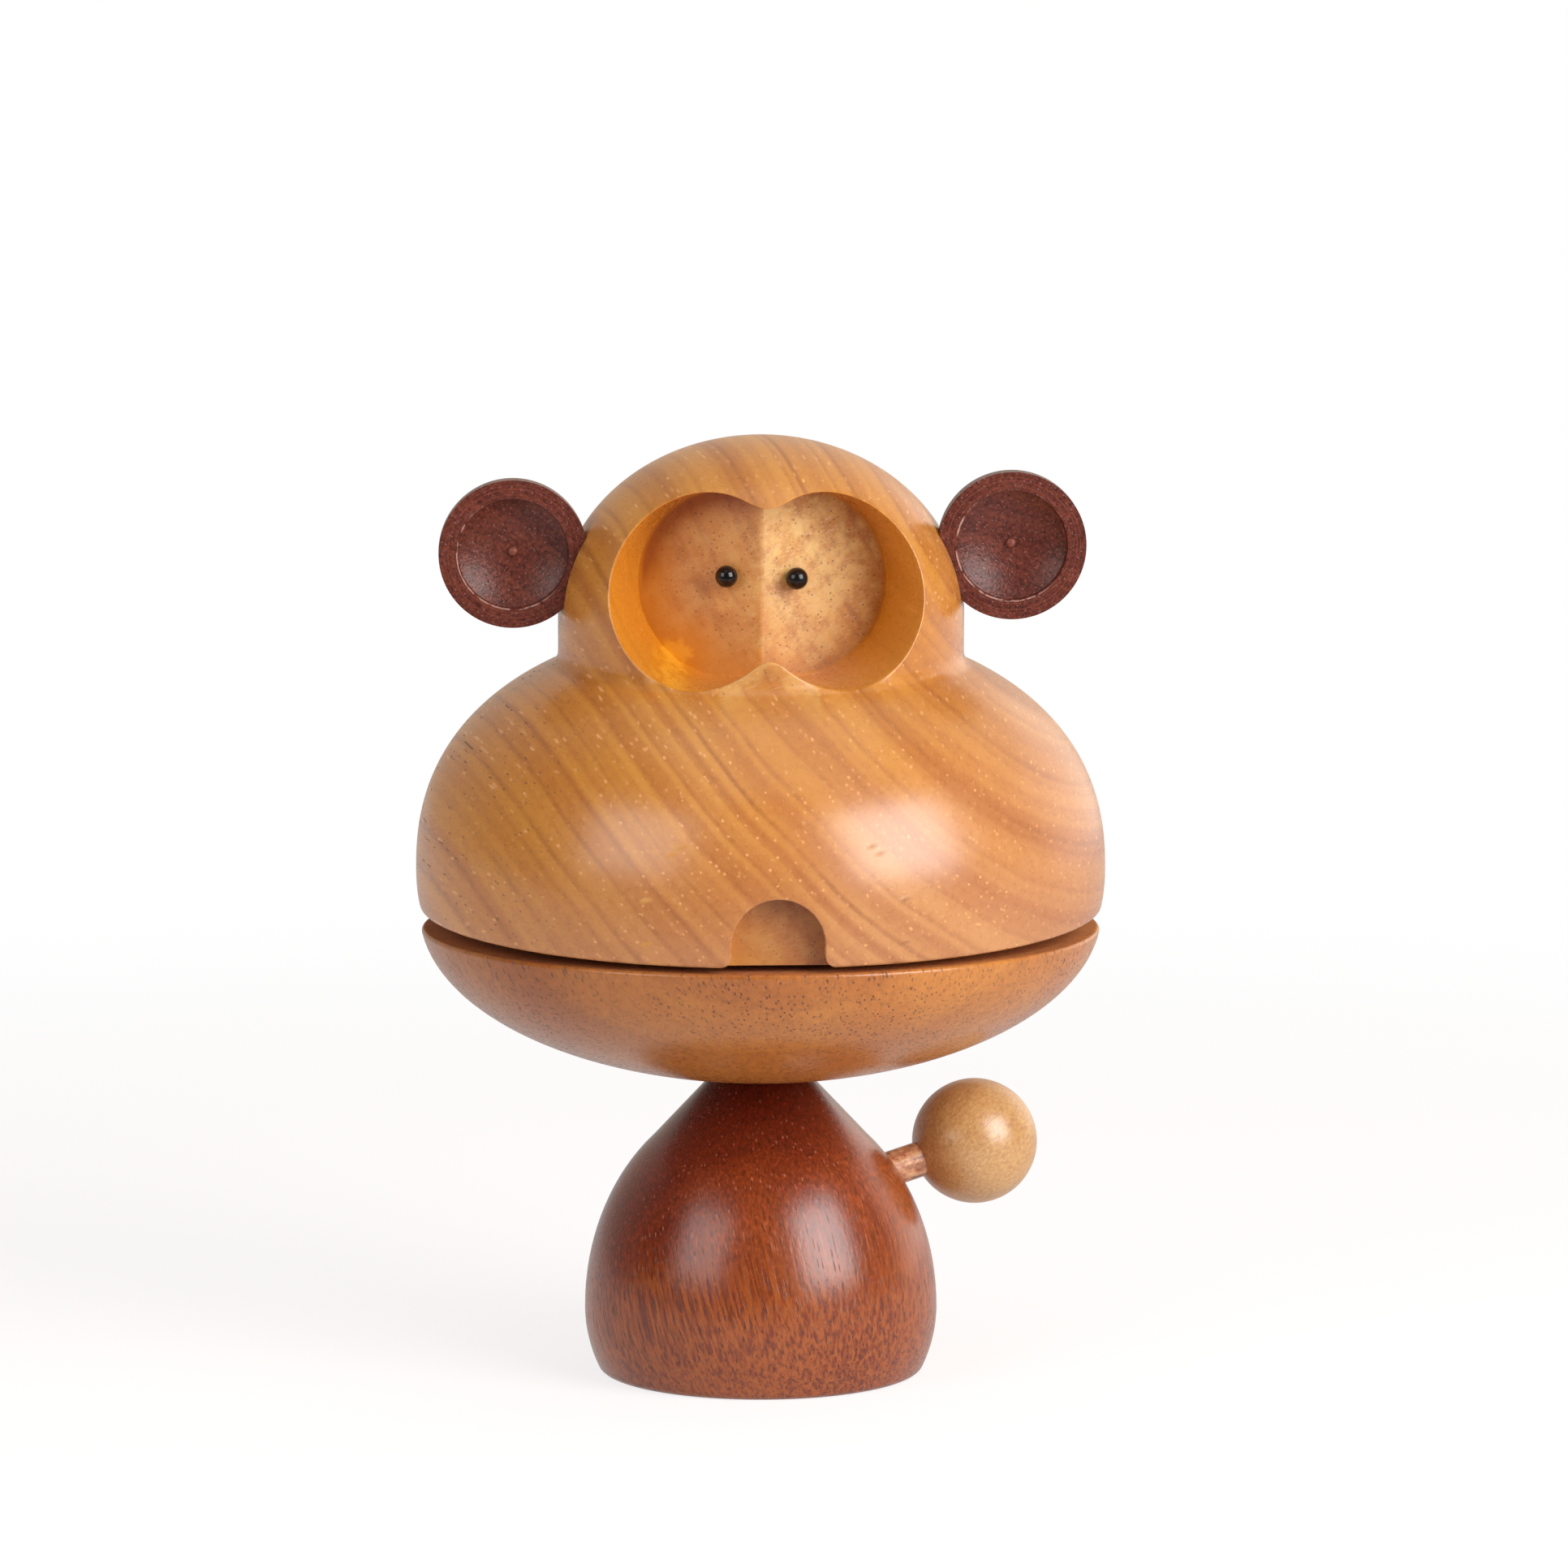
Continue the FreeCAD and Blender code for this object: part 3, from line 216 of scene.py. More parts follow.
print("nodes in the world:", len(tree.nodes))

# %% [markdown]
# ## The floor
#
# A white sweep that runs out of the picture. A plain white plane does it. It is lit by the lamps, so it keeps
# the soft shadow, and it glows a little towards the camera, so that it meets the white room without a line.
# Polished wood would mirror it as a pale haze, so rays that come off a gloss see it darker in front.

# %% Lay the floor
floor_half = 4.0
shadow_reach, white_from = 0.18, 0.50
dark_until, bright_from, dark_front, bright_under = -0.45, -0.08, 0.06, 0.7
corners = [(x * floor_half, y * floor_half, 0) for x, y in ((-1, -1), (1, -1), (1, 1), (-1, 1))]
floor_mesh = bpy.data.meshes.new("floor")
floor_mesh.from_pydata(corners, [], [(0, 1, 2, 3)])
floor = placed("floor", floor_mesh)
paper = bpy.data.materials.new("white_paper")
tree = cleared(paper)
matt = add(tree, "ShaderNodeBsdfDiffuse", Color=(0.88, 0.87, 0.87, 1))
# Its colour is a little warm: painted light bounced off the wood of the figure.
shaded = add(tree, "ShaderNodeBsdfDiffuse", Color=(0.30, 0.27, 0.26, 1))
glow = add(tree, "ShaderNodeEmission", Color=(1, 1, 1, 1), Strength=0.785)
white = add(tree, "ShaderNodeEmission", Color=(1, 1, 1, 1), Strength=1.0)
dim = add(tree, "ShaderNodeEmission", Color=(1, 1, 1, 1))
both = add(tree, "ShaderNodeAddShader")
out = add(tree, "ShaderNodeOutputMaterial")
place = add(tree, "ShaderNodeTexCoord")
away = add(tree, "ShaderNodeVectorMath", operation="LENGTH")
split = add(tree, "ShaderNodeSeparateXYZ")
join((place.outputs["Object"], away.inputs[0]), (place.outputs["Object"], split.inputs[0]),
     (shaded.outputs[0], both.inputs[0]), (glow.outputs[0], both.inputs[1]))
join((from_to(split.outputs["Y"], dark_until, bright_from, dark_front, bright_under),
            dim.inputs["Strength"]))
fading = mixed(from_to(away.outputs["Value"], shadow_reach, white_from), both.outputs[0], white.outputs[0])
photographed = mixed(any_ray(tree, "Glossy"), fading, dim.outputs[0])
shown = mixed(any_ray(tree, "Camera", "Glossy", "Transmission"), matt.outputs[0], photographed)
join((shown, out.inputs["Surface"]))
floor_mesh.materials.append(paper)
print("floor:", 2 * floor_half, "m wide")

# %% [markdown]
# ## Wood
#
# Wood is a bundle of fibres with growth layers round a far heart. Where a turned surface cuts the layers it
# shows streaks, and where it cuts the fibres it shows pores: dots on end grain, dashes on side grain. One
# solid pattern in the block's own directions gives all of that at once, as it does in the real block. A
# pattern wrapped on the surface would never meet itself at the recess and the mouth.

# %% Helpers for patterns
mm = 0.001


def paint(name):
    """A new material with a shader and its output, and nothing else."""
    made = bpy.data.materials.new(name)
    tree = cleared(made)
    shader = add(tree, "ShaderNodeBsdfPrincipled")
    out = add(tree, "ShaderNodeOutputMaterial")
    join((shader.outputs[0], out.inputs["Surface"]))
    return made, tree, shader


def block_space(tree, heart=(0, 0, 0), fibres=(0, 0, 1)):
    """Object coordinates from a point on the tree's heart, turned so that z runs along the fibres."""
    along = Vector(fibres).normalized()
    sideways = along.orthogonal().normalized()
    turn = Matrix((sideways, along.cross(sideways), along))
    place = add(tree, "ShaderNodeTexCoord")
    made = add(tree, "ShaderNodeMapping")
    made.inputs["Rotation"].default_value = turn.to_euler("XYZ")
    made.inputs["Location"].default_value = -(turn @ Vector(heart))
    join((place.outputs["Object"], made.inputs["Vector"]))
    return made.outputs[0]


def scaled(vector, sizes):
    """The vector divided by a length in each direction, so that a pattern has features of those lengths."""
    made = add(vector, "ShaderNodeMapping")
    made.inputs["Scale"].default_value = [1 / s for s in sizes]
    join((vector, made.inputs["Vector"]))
    return made.outputs[0]


def clouds(vector, sizes, detail=2.0, roughness=0.5):
    """Soft noise with features of those lengths, from 0 to 1."""
    made = add(vector, "ShaderNodeTexNoise", Scale=1.0, Detail=detail, Roughness=roughness)
    join((scaled(vector, sizes), made.inputs["Vector"]))
    return made.outputs["Fac"]


def sums(kind, *parts):
    """One sum of plain arithmetic on a socket and up to two more sockets or numbers."""
    made = add(parts[0], "ShaderNodeMath", operation=kind)
    for part, socket in zip(parts, made.inputs):
        feed(part, socket)
    return made.outputs[0]


def times(a, b):
    """A socket times a socket or a number."""
    return sums("MULTIPLY", a, b)


def times_plus(a, b, c):
    """A socket times a socket or a number, plus another one."""
    return sums("MULTIPLY_ADD", a, b, c)


def tinted(colour, *shares):
    """A colour with its three parts multiplied by one share, or by three, up to 1."""
    shares = shares if len(shares) == 3 else shares * 3
    return tuple(min(1, part * share) for part, share in zip(colour, shares))


def blend_colour(tree, amount, under, over, kind="MIX"):
    """The colour under, covered by the colour over where amount is 1."""
    made = add(tree, "ShaderNodeMix", data_type="RGBA", blend_type=kind)
    for part, number in ((amount, 0), (under, 6), (over, 7)):
        feed(part, made.inputs[number])
    return made.outputs[2]


def covered(tree, colour, *layers):
    """The colour under some layers, each an amount from 0 to 1 and a colour."""
    for amount, over in layers:
        colour = blend_colour(tree, amount, colour, over)
    return colour


def pores(vector, width, length, spacing, share):
    """Vessels along the fibres: a scatter of points across them gives each vessel its place, soft noise as
    long as a dash breaks it into dashes, and only a share of the vessels is kept."""
    made = add(vector, "ShaderNodeTexVoronoi", voronoi_dimensions="2D", Scale=1.0)
    join((scaled(vector, (spacing,) * 3), made.inputs["Vector"]))
    near = from_to(made.outputs["Distance"], 0.65 * width / spacing, 0.35 * width / spacing)
    split = add(vector, "ShaderNodeSeparateColor")
    join((made.outputs["Color"], split.inputs[0]))
    kept = from_to(split.outputs[0], 1 - share - 0.1, 1 - share + 0.1)
    open_here = from_to(clouds(vector, (spacing, spacing, length), 0.0), 0.47, 0.55)
    return times(times(near, kept), open_here)


def height_above(tree, axis="Z"):
    """One of the piece's own coordinates."""
    place = add(tree, "ShaderNodeTexCoord")
    split = add(tree, "ShaderNodeSeparateXYZ")
    join((place.outputs["Object"], split.inputs[0]))
    return split.outputs[axis]


def off_axis(vector):
    """The distance from the z axis of a space."""
    flat = add(vector, "ShaderNodeMapping")
    flat.inputs["Scale"].default_value = (1, 1, 0)
    length = add(vector, "ShaderNodeVectorMath", operation="LENGTH")
    join((vector, flat.inputs["Vector"]), (flat.outputs[0], length.inputs[0]))
    return length.outputs["Value"]


def noise_of(value, step, detail=2.0, roughness=0.6):
    """Soft noise of one number, with features of that length."""
    made = add(value, "ShaderNodeTexNoise", noise_dimensions="1D", Scale=1.0, Detail=detail,
               Roughness=roughness)
    join((sums("DIVIDE", value, step), made.inputs["W"]))
    return made.outputs["Fac"]


# %% [markdown]
# ## Growth layers
#
# A tree adds a layer each year, and in this head they show as broad bands with thin dark lines between them.
# Rings at even steps would look printed, so noise shakes them and picks each line's place and strength.

# %% Draw the growth layers
def growth(block, band, line_gap, line_width, wander):
    """The distance from the heart, shaken by soft noise, picks the growth layer. Noise of that one number
    makes broad bands. Scattered points on it make thin lines, each with a soft dark side and a pale edge.
    Gives the slow noise, the fine noise, the bands, the lines, their dark sides and their pale edges."""
    slow = clouds(block, (22 * mm, 22 * mm, 70 * mm), 1.0)
    quick = clouds(block, (4 * mm, 4 * mm, 14 * mm), 2.0)
    ring = times_plus(slow, 6 * wander, off_axis(block))
    ring = times_plus(quick, wander, ring)
    broad = from_to(noise_of(ring, band), 0.38, 0.62)
    fine = noise_of(ring, band / 7, 1.0, 0.5)
    bands = from_to(times_plus(fine, 0.6, broad), 0.1, 1.5)
    rows = add(block, "ShaderNodeTexVoronoi", voronoi_dimensions="1D", Scale=1.0, Randomness=0.8)
    layer = sums("DIVIDE", ring, line_gap)
    chance = add(block, "ShaderNodeSeparateColor")
    join((layer, rows.inputs["W"]), (rows.outputs["Color"], chance.inputs[0]))
    side = sums("SUBTRACT", layer, rows.outputs["W"])
    strength = times(from_to(chance.outputs[0], 0.1, 0.9, 0.25, 1.0),
                     from_to(clouds(block, (14 * mm, 14 * mm, 40 * mm)), 0.3, 0.6, 0.3, 1.0))
    half = 0.5 * line_width / line_gap
    line = times(from_to(rows.outputs["Distance"], 1.5 * half, 0.2 * half), strength)
    shade = times(from_to(side, -0.35, 0.0), from_to(side, half, 0.0))
    edge_off = sums("ABSOLUTE", sums("SUBTRACT", side, 3 * half))
    edge = times(from_to(edge_off, 1.6 * half, 0.0), strength)
    return slow, fine, bands, line, shade, edge


# %% [markdown]
# ## What the workshop left on the wood, and some painted light
#
# The bell's foot is paler and its fibres stand out there, where the turning cut across them. The ears kept
# the rings of the lathe, and the edge of their dish and their nub carry painted highlights. In the head the
# cutter tore the recess's floor and the oil lies in it, and there the colour also carries painted light and
# shade. A stain painted on flat would look the same from afar, but each of these follows the fibres, so
# each one is laid over the wood's own colour in the same block of space.

# %% Foot, lathe, oil and painted light
def end_grain_foot(tree, block, slow, colour, pale, pore, foot):
    """Below that height the wood is paler, with stripes along its fibres. Gives the colour and the place."""
    uneven = times_plus(slow, 0.8 * foot, height_above(tree))
    low = from_to(uneven, 1.75 * foot, 1.05 * foot)
    stripes = clouds(block, (0.5 * mm, 0.5 * mm, 7 * mm), 3.0, 0.65)
    bright = times(low, from_to(stripes, 0.42, 0.62, 0.15, 0.9))
    dark = times(low, from_to(stripes, 0.47, 0.33, 0.0, 0.6))
    return covered(tree, colour, (bright, tinted(pale, 1.2, 1.45, 1.5)), (dark, tinted(pore, 1.6))), low


# The two colours are painted highlights, on the edge of the ears' dish and on their nub.
ear_slope, ear_rim_half, rim_highlight_colour, nub_highlight_colour = 0.044, 10.65 * mm, (0.62, 0.36, 0.30), (0.30, 0.09, 0.06)


def lathe_marks_and_highlights(tree, block, colour, height, pale, point, dish_half):
    """Rings about a lathe axis through that point, scratches on the rim, a painted highlight on the dish's
    edge at its lower left and a paler nub in its middle, also a painted highlight. The face leans by the ear's
    slope. Gives the colour and the height."""
    off = off_axis(block_space(tree, point, (0, 1, ear_slope)))
    rings = noise_of(off, 0.22 * mm, 1.0)
    on_rim = from_to(off, dish_half, dish_half + 0.4 * mm)
    scratched = times(on_rim, from_to(rings, 0.50, 0.72))
    rim_off = sums("ABSOLUTE", sums("SUBTRACT", off, dish_half))
    highlight_breaks = clouds(block, (1.4 * mm,) * 3, 2.0)
    # A painted highlight on the dish's edge, broken by noise, kept to its lower left and to the face.
    rim_highlight = times(from_to(rim_off, 0.22 * mm, 0.08 * mm), from_to(highlight_breaks, 0.40, 0.54))
    corner = point[0] + point[2]
    low_left = from_to(sums("ADD", height_above(tree, "X"), height_above(tree)),
                       corner + 3 * mm, corner - 6 * mm, 0.04, 1.0)
    face = point[1] + ear_slope * (point[2] + ear_rim_half)
    on_face = from_to(times_plus(height_above(tree), ear_slope, height_above(tree, "Y")),
                      face + 0.55 * mm, face + 0.35 * mm)
    front = from_to(height_above(tree, "Y"), point[1] + 5 * mm, point[1] + 4 * mm)
    # The nub's paler colour is a painted highlight.
    nub = times(from_to(off, 0.8 * mm, 0.5 * mm, 0.0, 0.6), front)
    colour = covered(tree, colour, (times(scratched, 0.45), tinted(pale, 1.8)),
                     (times(times(times(rim_highlight, low_left), on_face), 0.9), rim_highlight_colour), (nub, nub_highlight_colour))
    return colour, times_plus(rings, 0.5, height)


scratch_fibres, scratch_colour = (0.93, 0.1, 0.36), (0.85, 0.62, 0.36)
# The yellow of the painted glow, and the tint of painted shade and of end grain dark with oil.
painted_glow_colour, damp_and_shade_tint = (1.0, 0.50, 0.03), (0.58, 0.38, 0.22)


def cutter_oil_and_painted_light(tree, block, colour, marks, middle, streak, pale):
    """What the mesh's three marks say. The first gives pale patches, in part a painted highlight, cross
    scratches and pits where the cutter tore the wood. The second gives orange, oil and in part a painted glow
    of bounced light, and a yellow painted glow in the lower left corner. The third darkens, where end grain
    drank the oil and as painted shade beside the walls and at the top of the notch. Gives the colour and the
    torn relief."""
    bored, oil_and_glow, soak_and_shade = marks
    torn = clouds(block, (3.2 * mm, 3.2 * mm, 6 * mm), 6.0, 0.62)
    # Pale patches where the cutter tore the wood, in part a painted highlight.
    bald_and_sheen = times(from_to(torn, 0.38, 0.62, 0.2, 1.0), bored)
    crossing = clouds(block_space(tree, (0, 0, 0), scratch_fibres), (0.16 * mm, 0.16 * mm, 3 * mm), 2.0)
    scratch = times(from_to(crossing, 0.55, 0.68), bored)
    pits = times(pores(block, 0.28 * mm, 0.8 * mm, 0.7 * mm, 0.35), from_to(bored, 0.1, 0.5))
    # Orange from the second mark, oil and in part a painted glow; where that mark is over 1, a yellow painted
    # glow.
    glow_patches = times(oil_and_glow, from_to(torn, 0.40, 0.58, 0.72, 1.0))
    colour = covered(tree, colour, (times(bald_and_sheen, 0.7), tinted(pale, 1.3, 1.95, 2.8)),
                     (times(scratch, 0.45), scratch_colour), (times(pits, 0.75), tinted(streak, 0.6)),
                     (times(oil_and_glow, 0.7), tinted(middle, 1.15, 1.08, 0.15)),
                     (from_to(glow_patches, 1.0, 1.5, 0.0, 0.6), painted_glow_colour))
    # Darker where the third mark says: end grain dark with oil, and painted shade.
    return blend_colour(tree, soak_and_shade, colour, damp_and_shade_tint, "MULTIPLY"), times(torn, bored)


# %% [markdown]
# ## The wood itself
#
# Oiled wood shines softly: one layer of gloss over a coloured ground. A clear coat on top would be a second
# mirror and wash the colour out, so the gloss is the wood's own, a little uneven where the oil sank in.

# %% Make the wood itself
def wood(name, middle, streak, pale, pore, heart, fibres, band=9 * mm, streak_amount=0.5, line_gap=5.5 * mm,
         line_width=0.35 * mm, line_amount=0.6, wander=0.8 * mm, mottle=0.25, mottle_size=1.6 * mm,
         fibre_amount=0.12, pore_width=0.24 * mm, pore_length=1.6 * mm, pore_gap=1.1 * mm, pore_share=0.5,
         pore_amount=0.6, pores_left_of=None, speck_width=0.22 * mm, speck_gap=1.0 * mm, speck_amount=0.3,
         foot=None, painted_light_drift=None, planed=None, lathe=None, grain=0.3, rough=0.28, ior=1.62):
    """Turned and oiled wood: growth layers, then vessels, pale specks and fine fibres along the fibres. Left
    of pores_left_of the vessels are open, and to the right of the middle the lines fade. Along a slanted
    line, the height less a share of x, the colour is tinted as painted light and shade: given as that
    share, the line's two ends and the tint at each. Above the height planed, it is flat off the saw and
    not polished."""
    made, tree, shader = paint(name)
    block = block_space(tree, heart, fibres)
    marks = [add(tree, "ShaderNodeAttribute", attribute_name=word).outputs["Fac"]
             for word in ("bored", "oil_and_glow", "soak_and_shade")]
    bored = marks[0]
    slow, fine, bands, line, shade, edge = growth(block, band, line_gap, line_width, wander)
    patches = clouds(block, (24 * mm, 24 * mm, 50 * mm), 3.0)
    blots = clouds(block, (mottle_size, mottle_size, 1.6 * mottle_size), 3.0, 0.6)
    fibre = clouds(block, (0.3 * mm, 0.3 * mm, 9 * mm), 2.0, 0.55)
    specks = times(pores(block, speck_width, 2 * mm, speck_gap, 0.6), from_to(fine, 0.42, 0.60, 0.15, 1.0))
    specks = times(specks, from_to(bored, 0.0, 0.3, 1.0, 0.0))
    vessel = times(pores(block, pore_width, pore_length, pore_gap, pore_share),
                   from_to(patches, 0.3, 0.6, 0.5, 1.0))
    if pores_left_of:
        to_right = height_above(tree, "X")
        line = times(line, from_to(to_right, 0.0, 28 * mm, 1.0, 0.5))
        vessel = times(vessel, from_to(to_right, pores_left_of + 16 * mm, pores_left_of, 0.1, 1.0))
    colour = blend_colour(tree, from_to(patches, 0.35, 0.68), pale, middle)
    colour = covered(tree, colour, (times(bands, streak_amount), streak),
                     (times(shade, 0.45 * line_amount), streak), (times(edge, 0.6 * line_amount), pale),
                     (times(line, line_amount), tinted(streak, 0.78)))
    colour = blend_colour(tree, mottle, colour, from_to(blots, 0.25, 0.75), "OVERLAY")
    colour = blend_colour(tree, fibre_amount, colour, from_to(fibre, 0.2, 0.8), "OVERLAY")
    if foot:
        colour, low = end_grain_foot(tree, block, slow, colour, pale, pore, foot)
        vessel = times(vessel, times_plus(low, 0.72, 0.28))
        specks = times(specks, times_plus(low, -0.8, 1.0))
    # Painted light and shade: the colour is multiplied by a tint that changes along a slanted line.
    if painted_light_drift:
        share, ends, first, last = painted_light_drift
        slanted = times_plus(height_above(tree, "X"), -share, height_above(tree))
        tint = blend_colour(tree, from_to(slanted, *ends), first, last)
        colour = blend_colour(tree, 1.0, colour, tint, "MULTIPLY")
    speck_colour = tuple(min(1, 1.2 * part + 0.08) for part in pale)
    colour = covered(tree, colour, (times(specks, speck_amount), speck_colour),
                     (times(vessel, pore_amount), pore))
    height = times_plus(vessel, -1.0, times(fibre, 0.15))
    for relief, share in ((line, -0.12), (specks, 0.2), (blots, grain)):
        height = times_plus(relief, share, height)
    if lathe:
        colour, height = lathe_marks_and_highlights(tree, block, colour, height, pale, *lathe)
    colour, torn = cutter_oil_and_painted_light(tree, block, colour, marks, middle, streak, pale)
    height = times_plus(torn, 4.0, height)
    dull = times_plus(blots, 0.10, rough - 0.05)
    for roughened, share in ((bored, 0.22), (vessel, 0.25)):
        dull = times_plus(roughened, share, dull)
    if planed:
        sawn = from_to(height_above(tree), planed - 0.1 * mm, planed, 0.0, 0.6)
        dull = sums("ADD", dull, sawn)
    bump = add(tree, "ShaderNodeBump", Strength=0.5, Distance=0.05 * mm)
    join((colour, shader.inputs["Base Color"]), (dull, shader.inputs["Roughness"]),
         (height, bump.inputs["Height"]), (bump.outputs[0], shader.inputs["Normal"]))
    shader.inputs["IOR"].default_value = ior
    return made


# %% [markdown]
# ## The woods of this figure
#
# The head and the jaw are a honey-brown wood, the body a deep red-brown one, the ears a dark one turned on
# the lathe, the dowel a coppery one and the ball a tan one. The streaks of the head fall to the right and
# bend into arcs on the right cheek, so its heart lies up and to the right of the face, and its fibres run
# front to back. The body's dashes stand up and lean a little to the left, so its fibres do too.

# %% Mix the woods
jaw_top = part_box("jaw")[1][2]
# The head's tint is painted light: bluer toward the bottom right, warmer toward the top left.
honey = wood(
    "honey_wood", middle=(0.61, 0.235, 0.046), streak=(0.47, 0.150, 0.032), pale=(0.67, 0.285, 0.064),
    pore=(0.20, 0.07, 0.025), heart=(0.0655, 0, 0.1504), fibres=(-0.21, 0.97, 0.09), band=5.5 * mm,
    streak_amount=0.62, line_gap=3.8 * mm, line_width=0.75 * mm, line_amount=0.7, mottle=0.06,
    mottle_size=1.2 * mm, fibre_amount=0.05, wander=0.38 * mm, pore_width=0.25 * mm, pore_amount=0.8,
    pore_gap=0.9 * mm, pores_left_of=-36 * mm, speck_width=0.42 * mm, speck_amount=0.8, ior=1.68,
    painted_light_drift=(0.35, (66 * mm, 102 * mm), (0.97, 1.0, 1.55), (1.01, 0.98, 0.74)))
# The jaw's tint is painted light and shade: lighter to the right, darker to the left.
jaw_wood = wood(
    "jaw_wood", middle=(0.49, 0.148, 0.026), streak=(0.37, 0.100, 0.020), pale=(0.58, 0.202, 0.040),
    pore=(0.13, 0.030, 0.012), heart=(0, 0.25, 0), fibres=(-0.25, 0.2, 0.95), streak_amount=0.35,
    line_gap=9 * mm, line_amount=0.25, mottle=0.12, mottle_size=1.0 * mm, pore_amount=0.85, pore_share=0.7,
    pore_width=0.30 * mm, pore_gap=0.62 * mm, pore_length=1.1 * mm, grain=0.6, planed=jaw_top,
    painted_light_drift=(3.0, (-20 * mm, 180 * mm), (1.06, 1.12, 1.05), (0.78, 0.72, 0.66)))
# The body's tint is painted shade under the jaw: darker toward the top, more so on the left.
red = wood(
    "red_brown_wood", middle=(0.215, 0.027, 0.005), streak=(0.155, 0.017, 0.004), pale=(0.35, 0.074, 0.014),
    pore=(0.065, 0.012, 0.010), heart=(0.005, 0.03, 0), fibres=(-0.2, 0.25, 0.95), streak_amount=0.4,
    line_gap=2.6 * mm, line_amount=0.15, mottle_size=0.5 * mm, pore_width=0.20 * mm, pore_length=1.4 * mm,
    pore_gap=0.42 * mm, pore_share=0.6, pore_amount=0.85, fibre_amount=0.4, speck_gap=0.6 * mm,
    speck_amount=0.75, foot=18 * mm, grain=0.8, rough=0.26,
    painted_light_drift=(0.5, (21 * mm, 47 * mm), (1, 1, 1), (0.48, 0.14, 0.10)))


def ear_wood(node):
    """The ears' dark wood, turned about the middle of that ear's front face."""
    low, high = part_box(node)
    outer_half = (high[2] - low[2]) / 2
    across = low[0] + outer_half if low[0] + high[0] < 0 else high[0] - outer_half
    return wood(
        node + "_wood", middle=(0.115, 0.023, 0.014), streak=(0.07, 0.012, 0.008),
        pale=(0.16, 0.036, 0.020), pore=(0.02, 0.005, 0.005), heart=(0.1, 0, 0.3), fibres=(0.2, 1, 0.1),
        band=3 * mm, line_gap=2 * mm, line_amount=0.2, mottle=0.5, mottle_size=0.5 * mm,
        pore_width=0.16 * mm, pore_gap=0.36 * mm, pore_length=1.2 * mm, speck_width=0.24 * mm,
        speck_gap=0.46 * mm, speck_amount=0.9, grain=3.5, rough=0.32, ior=1.42,
        lathe=((across, low[1], (low[2] + high[2]) / 2), 8 * mm))


copper = wood(
    "coppery_dowel_wood", middle=(0.62, 0.26, 0.12), streak=(0.34, 0.11, 0.05), pale=(0.74, 0.36, 0.18),
    pore=(0.12, 0.035, 0.015), heart=(0, 0, 0.2), fibres=(0.93, 0.27, 0.26), band=1.5 * mm,
    line_gap=1.2 * mm, mottle=0.6, mottle_size=0.7 * mm, pore_width=0.14 * mm, pore_gap=0.5 * mm,
    pore_length=0.8 * mm, grain=5.0, rough=0.36)
tan = wood(
    "tan_ball_wood", middle=(0.60, 0.300, 0.098), streak=(0.50, 0.22, 0.064), pale=(0.68, 0.38, 0.15),
    pore=(0.28, 0.12, 0.045), heart=(0.05, 0.3, 0.1), fibres=(0.6, 0.6, 0.5), band=4 * mm, line_gap=3 * mm,
    streak_amount=0.2, line_amount=0.1, mottle=0.24, mottle_size=0.45 * mm, pore_width=0.12 * mm,
    pore_gap=0.4 * mm, pore_length=0.5 * mm, pore_amount=0.25, grain=1.0, rough=0.31, ior=1.8)
plywood = wood(
    "plywood", middle=(0.55, 0.36, 0.19), streak=(0.36, 0.2, 0.09), pale=(0.66, 0.47, 0.28),
    pore=(0.25, 0.14, 0.07), heart=(0, 0, 3), fibres=(1, 0, 0), band=1.2 * mm, line_gap=1.5 * mm, rough=0.6,
    ior=1.45)

# %% [markdown]
# ## Beads, metal and plastic
#
# The eyes are glossy black beads. Inside, the movement has machined brass, bright steel, a cast frame and a
# few moulded pieces. Metal is mostly reflection, so its pattern sits in the roughness and in fine turning
# marks, and its colour hardly changes.

# %% Mix the rest
bead, tree, shader = paint("black_bead")
smudge = clouds(block_space(tree), (1.2 * mm,) * 3)
smudged = blend_colour(tree, smudge, (0.004, 0.004, 0.004), (0.012, 0.010, 0.010))
join((smudged, shader.inputs["Base Color"]),
     (from_to(smudge, 0.2, 0.8, 0.10, 0.22), shader.inputs["Roughness"]))


def metal(name, colour, dull, rough, mark=0.15 * mm):
    """Bright metal: two tones in soft patches, and fine marks that shake the roughness and the surface."""
    made, tree, shader = paint(name)
    block = block_space(tree)
    patches = clouds(block, (3 * mm,) * 3, 3.0)
    marks = clouds(block, (mark, mark, 4 * mm), 2.0)
    toned = blend_colour(tree, from_to(patches, 0.3, 0.75), colour, dull)
    join((toned, shader.inputs["Base Color"]),
         (times_plus(marks, 0.18, rough - 0.09), shader.inputs["Roughness"]))
    shader.inputs["Metallic"].default_value = 1.0
    bump = add(tree, "ShaderNodeBump", Strength=0.2, Distance=0.01 * mm)
    join((marks, bump.inputs["Height"]), (bump.outputs[0], shader.inputs["Normal"]))
    return made


brass = metal("machined_brass", (0.75, 0.53, 0.22), (0.55, 0.36, 0.14), 0.26)
steel = metal("bright_steel", (0.62, 0.62, 0.63), (0.45, 0.45, 0.47), 0.24)
casting = metal("cast_zinc", (0.58, 0.58, 0.59), (0.44, 0.44, 0.45), 0.48, 0.5 * mm)

moulded, tree, shader = paint("moulded_plastic")
speck = clouds(block_space(tree), (0.8 * mm,) * 3, 3.0)
join((blend_colour(tree, speck, (0.80, 0.79, 0.76), (0.70, 0.69, 0.66)), shader.inputs["Base Color"]),
     (from_to(speck, 0.2, 0.8, 0.35, 0.55), shader.inputs["Roughness"]))

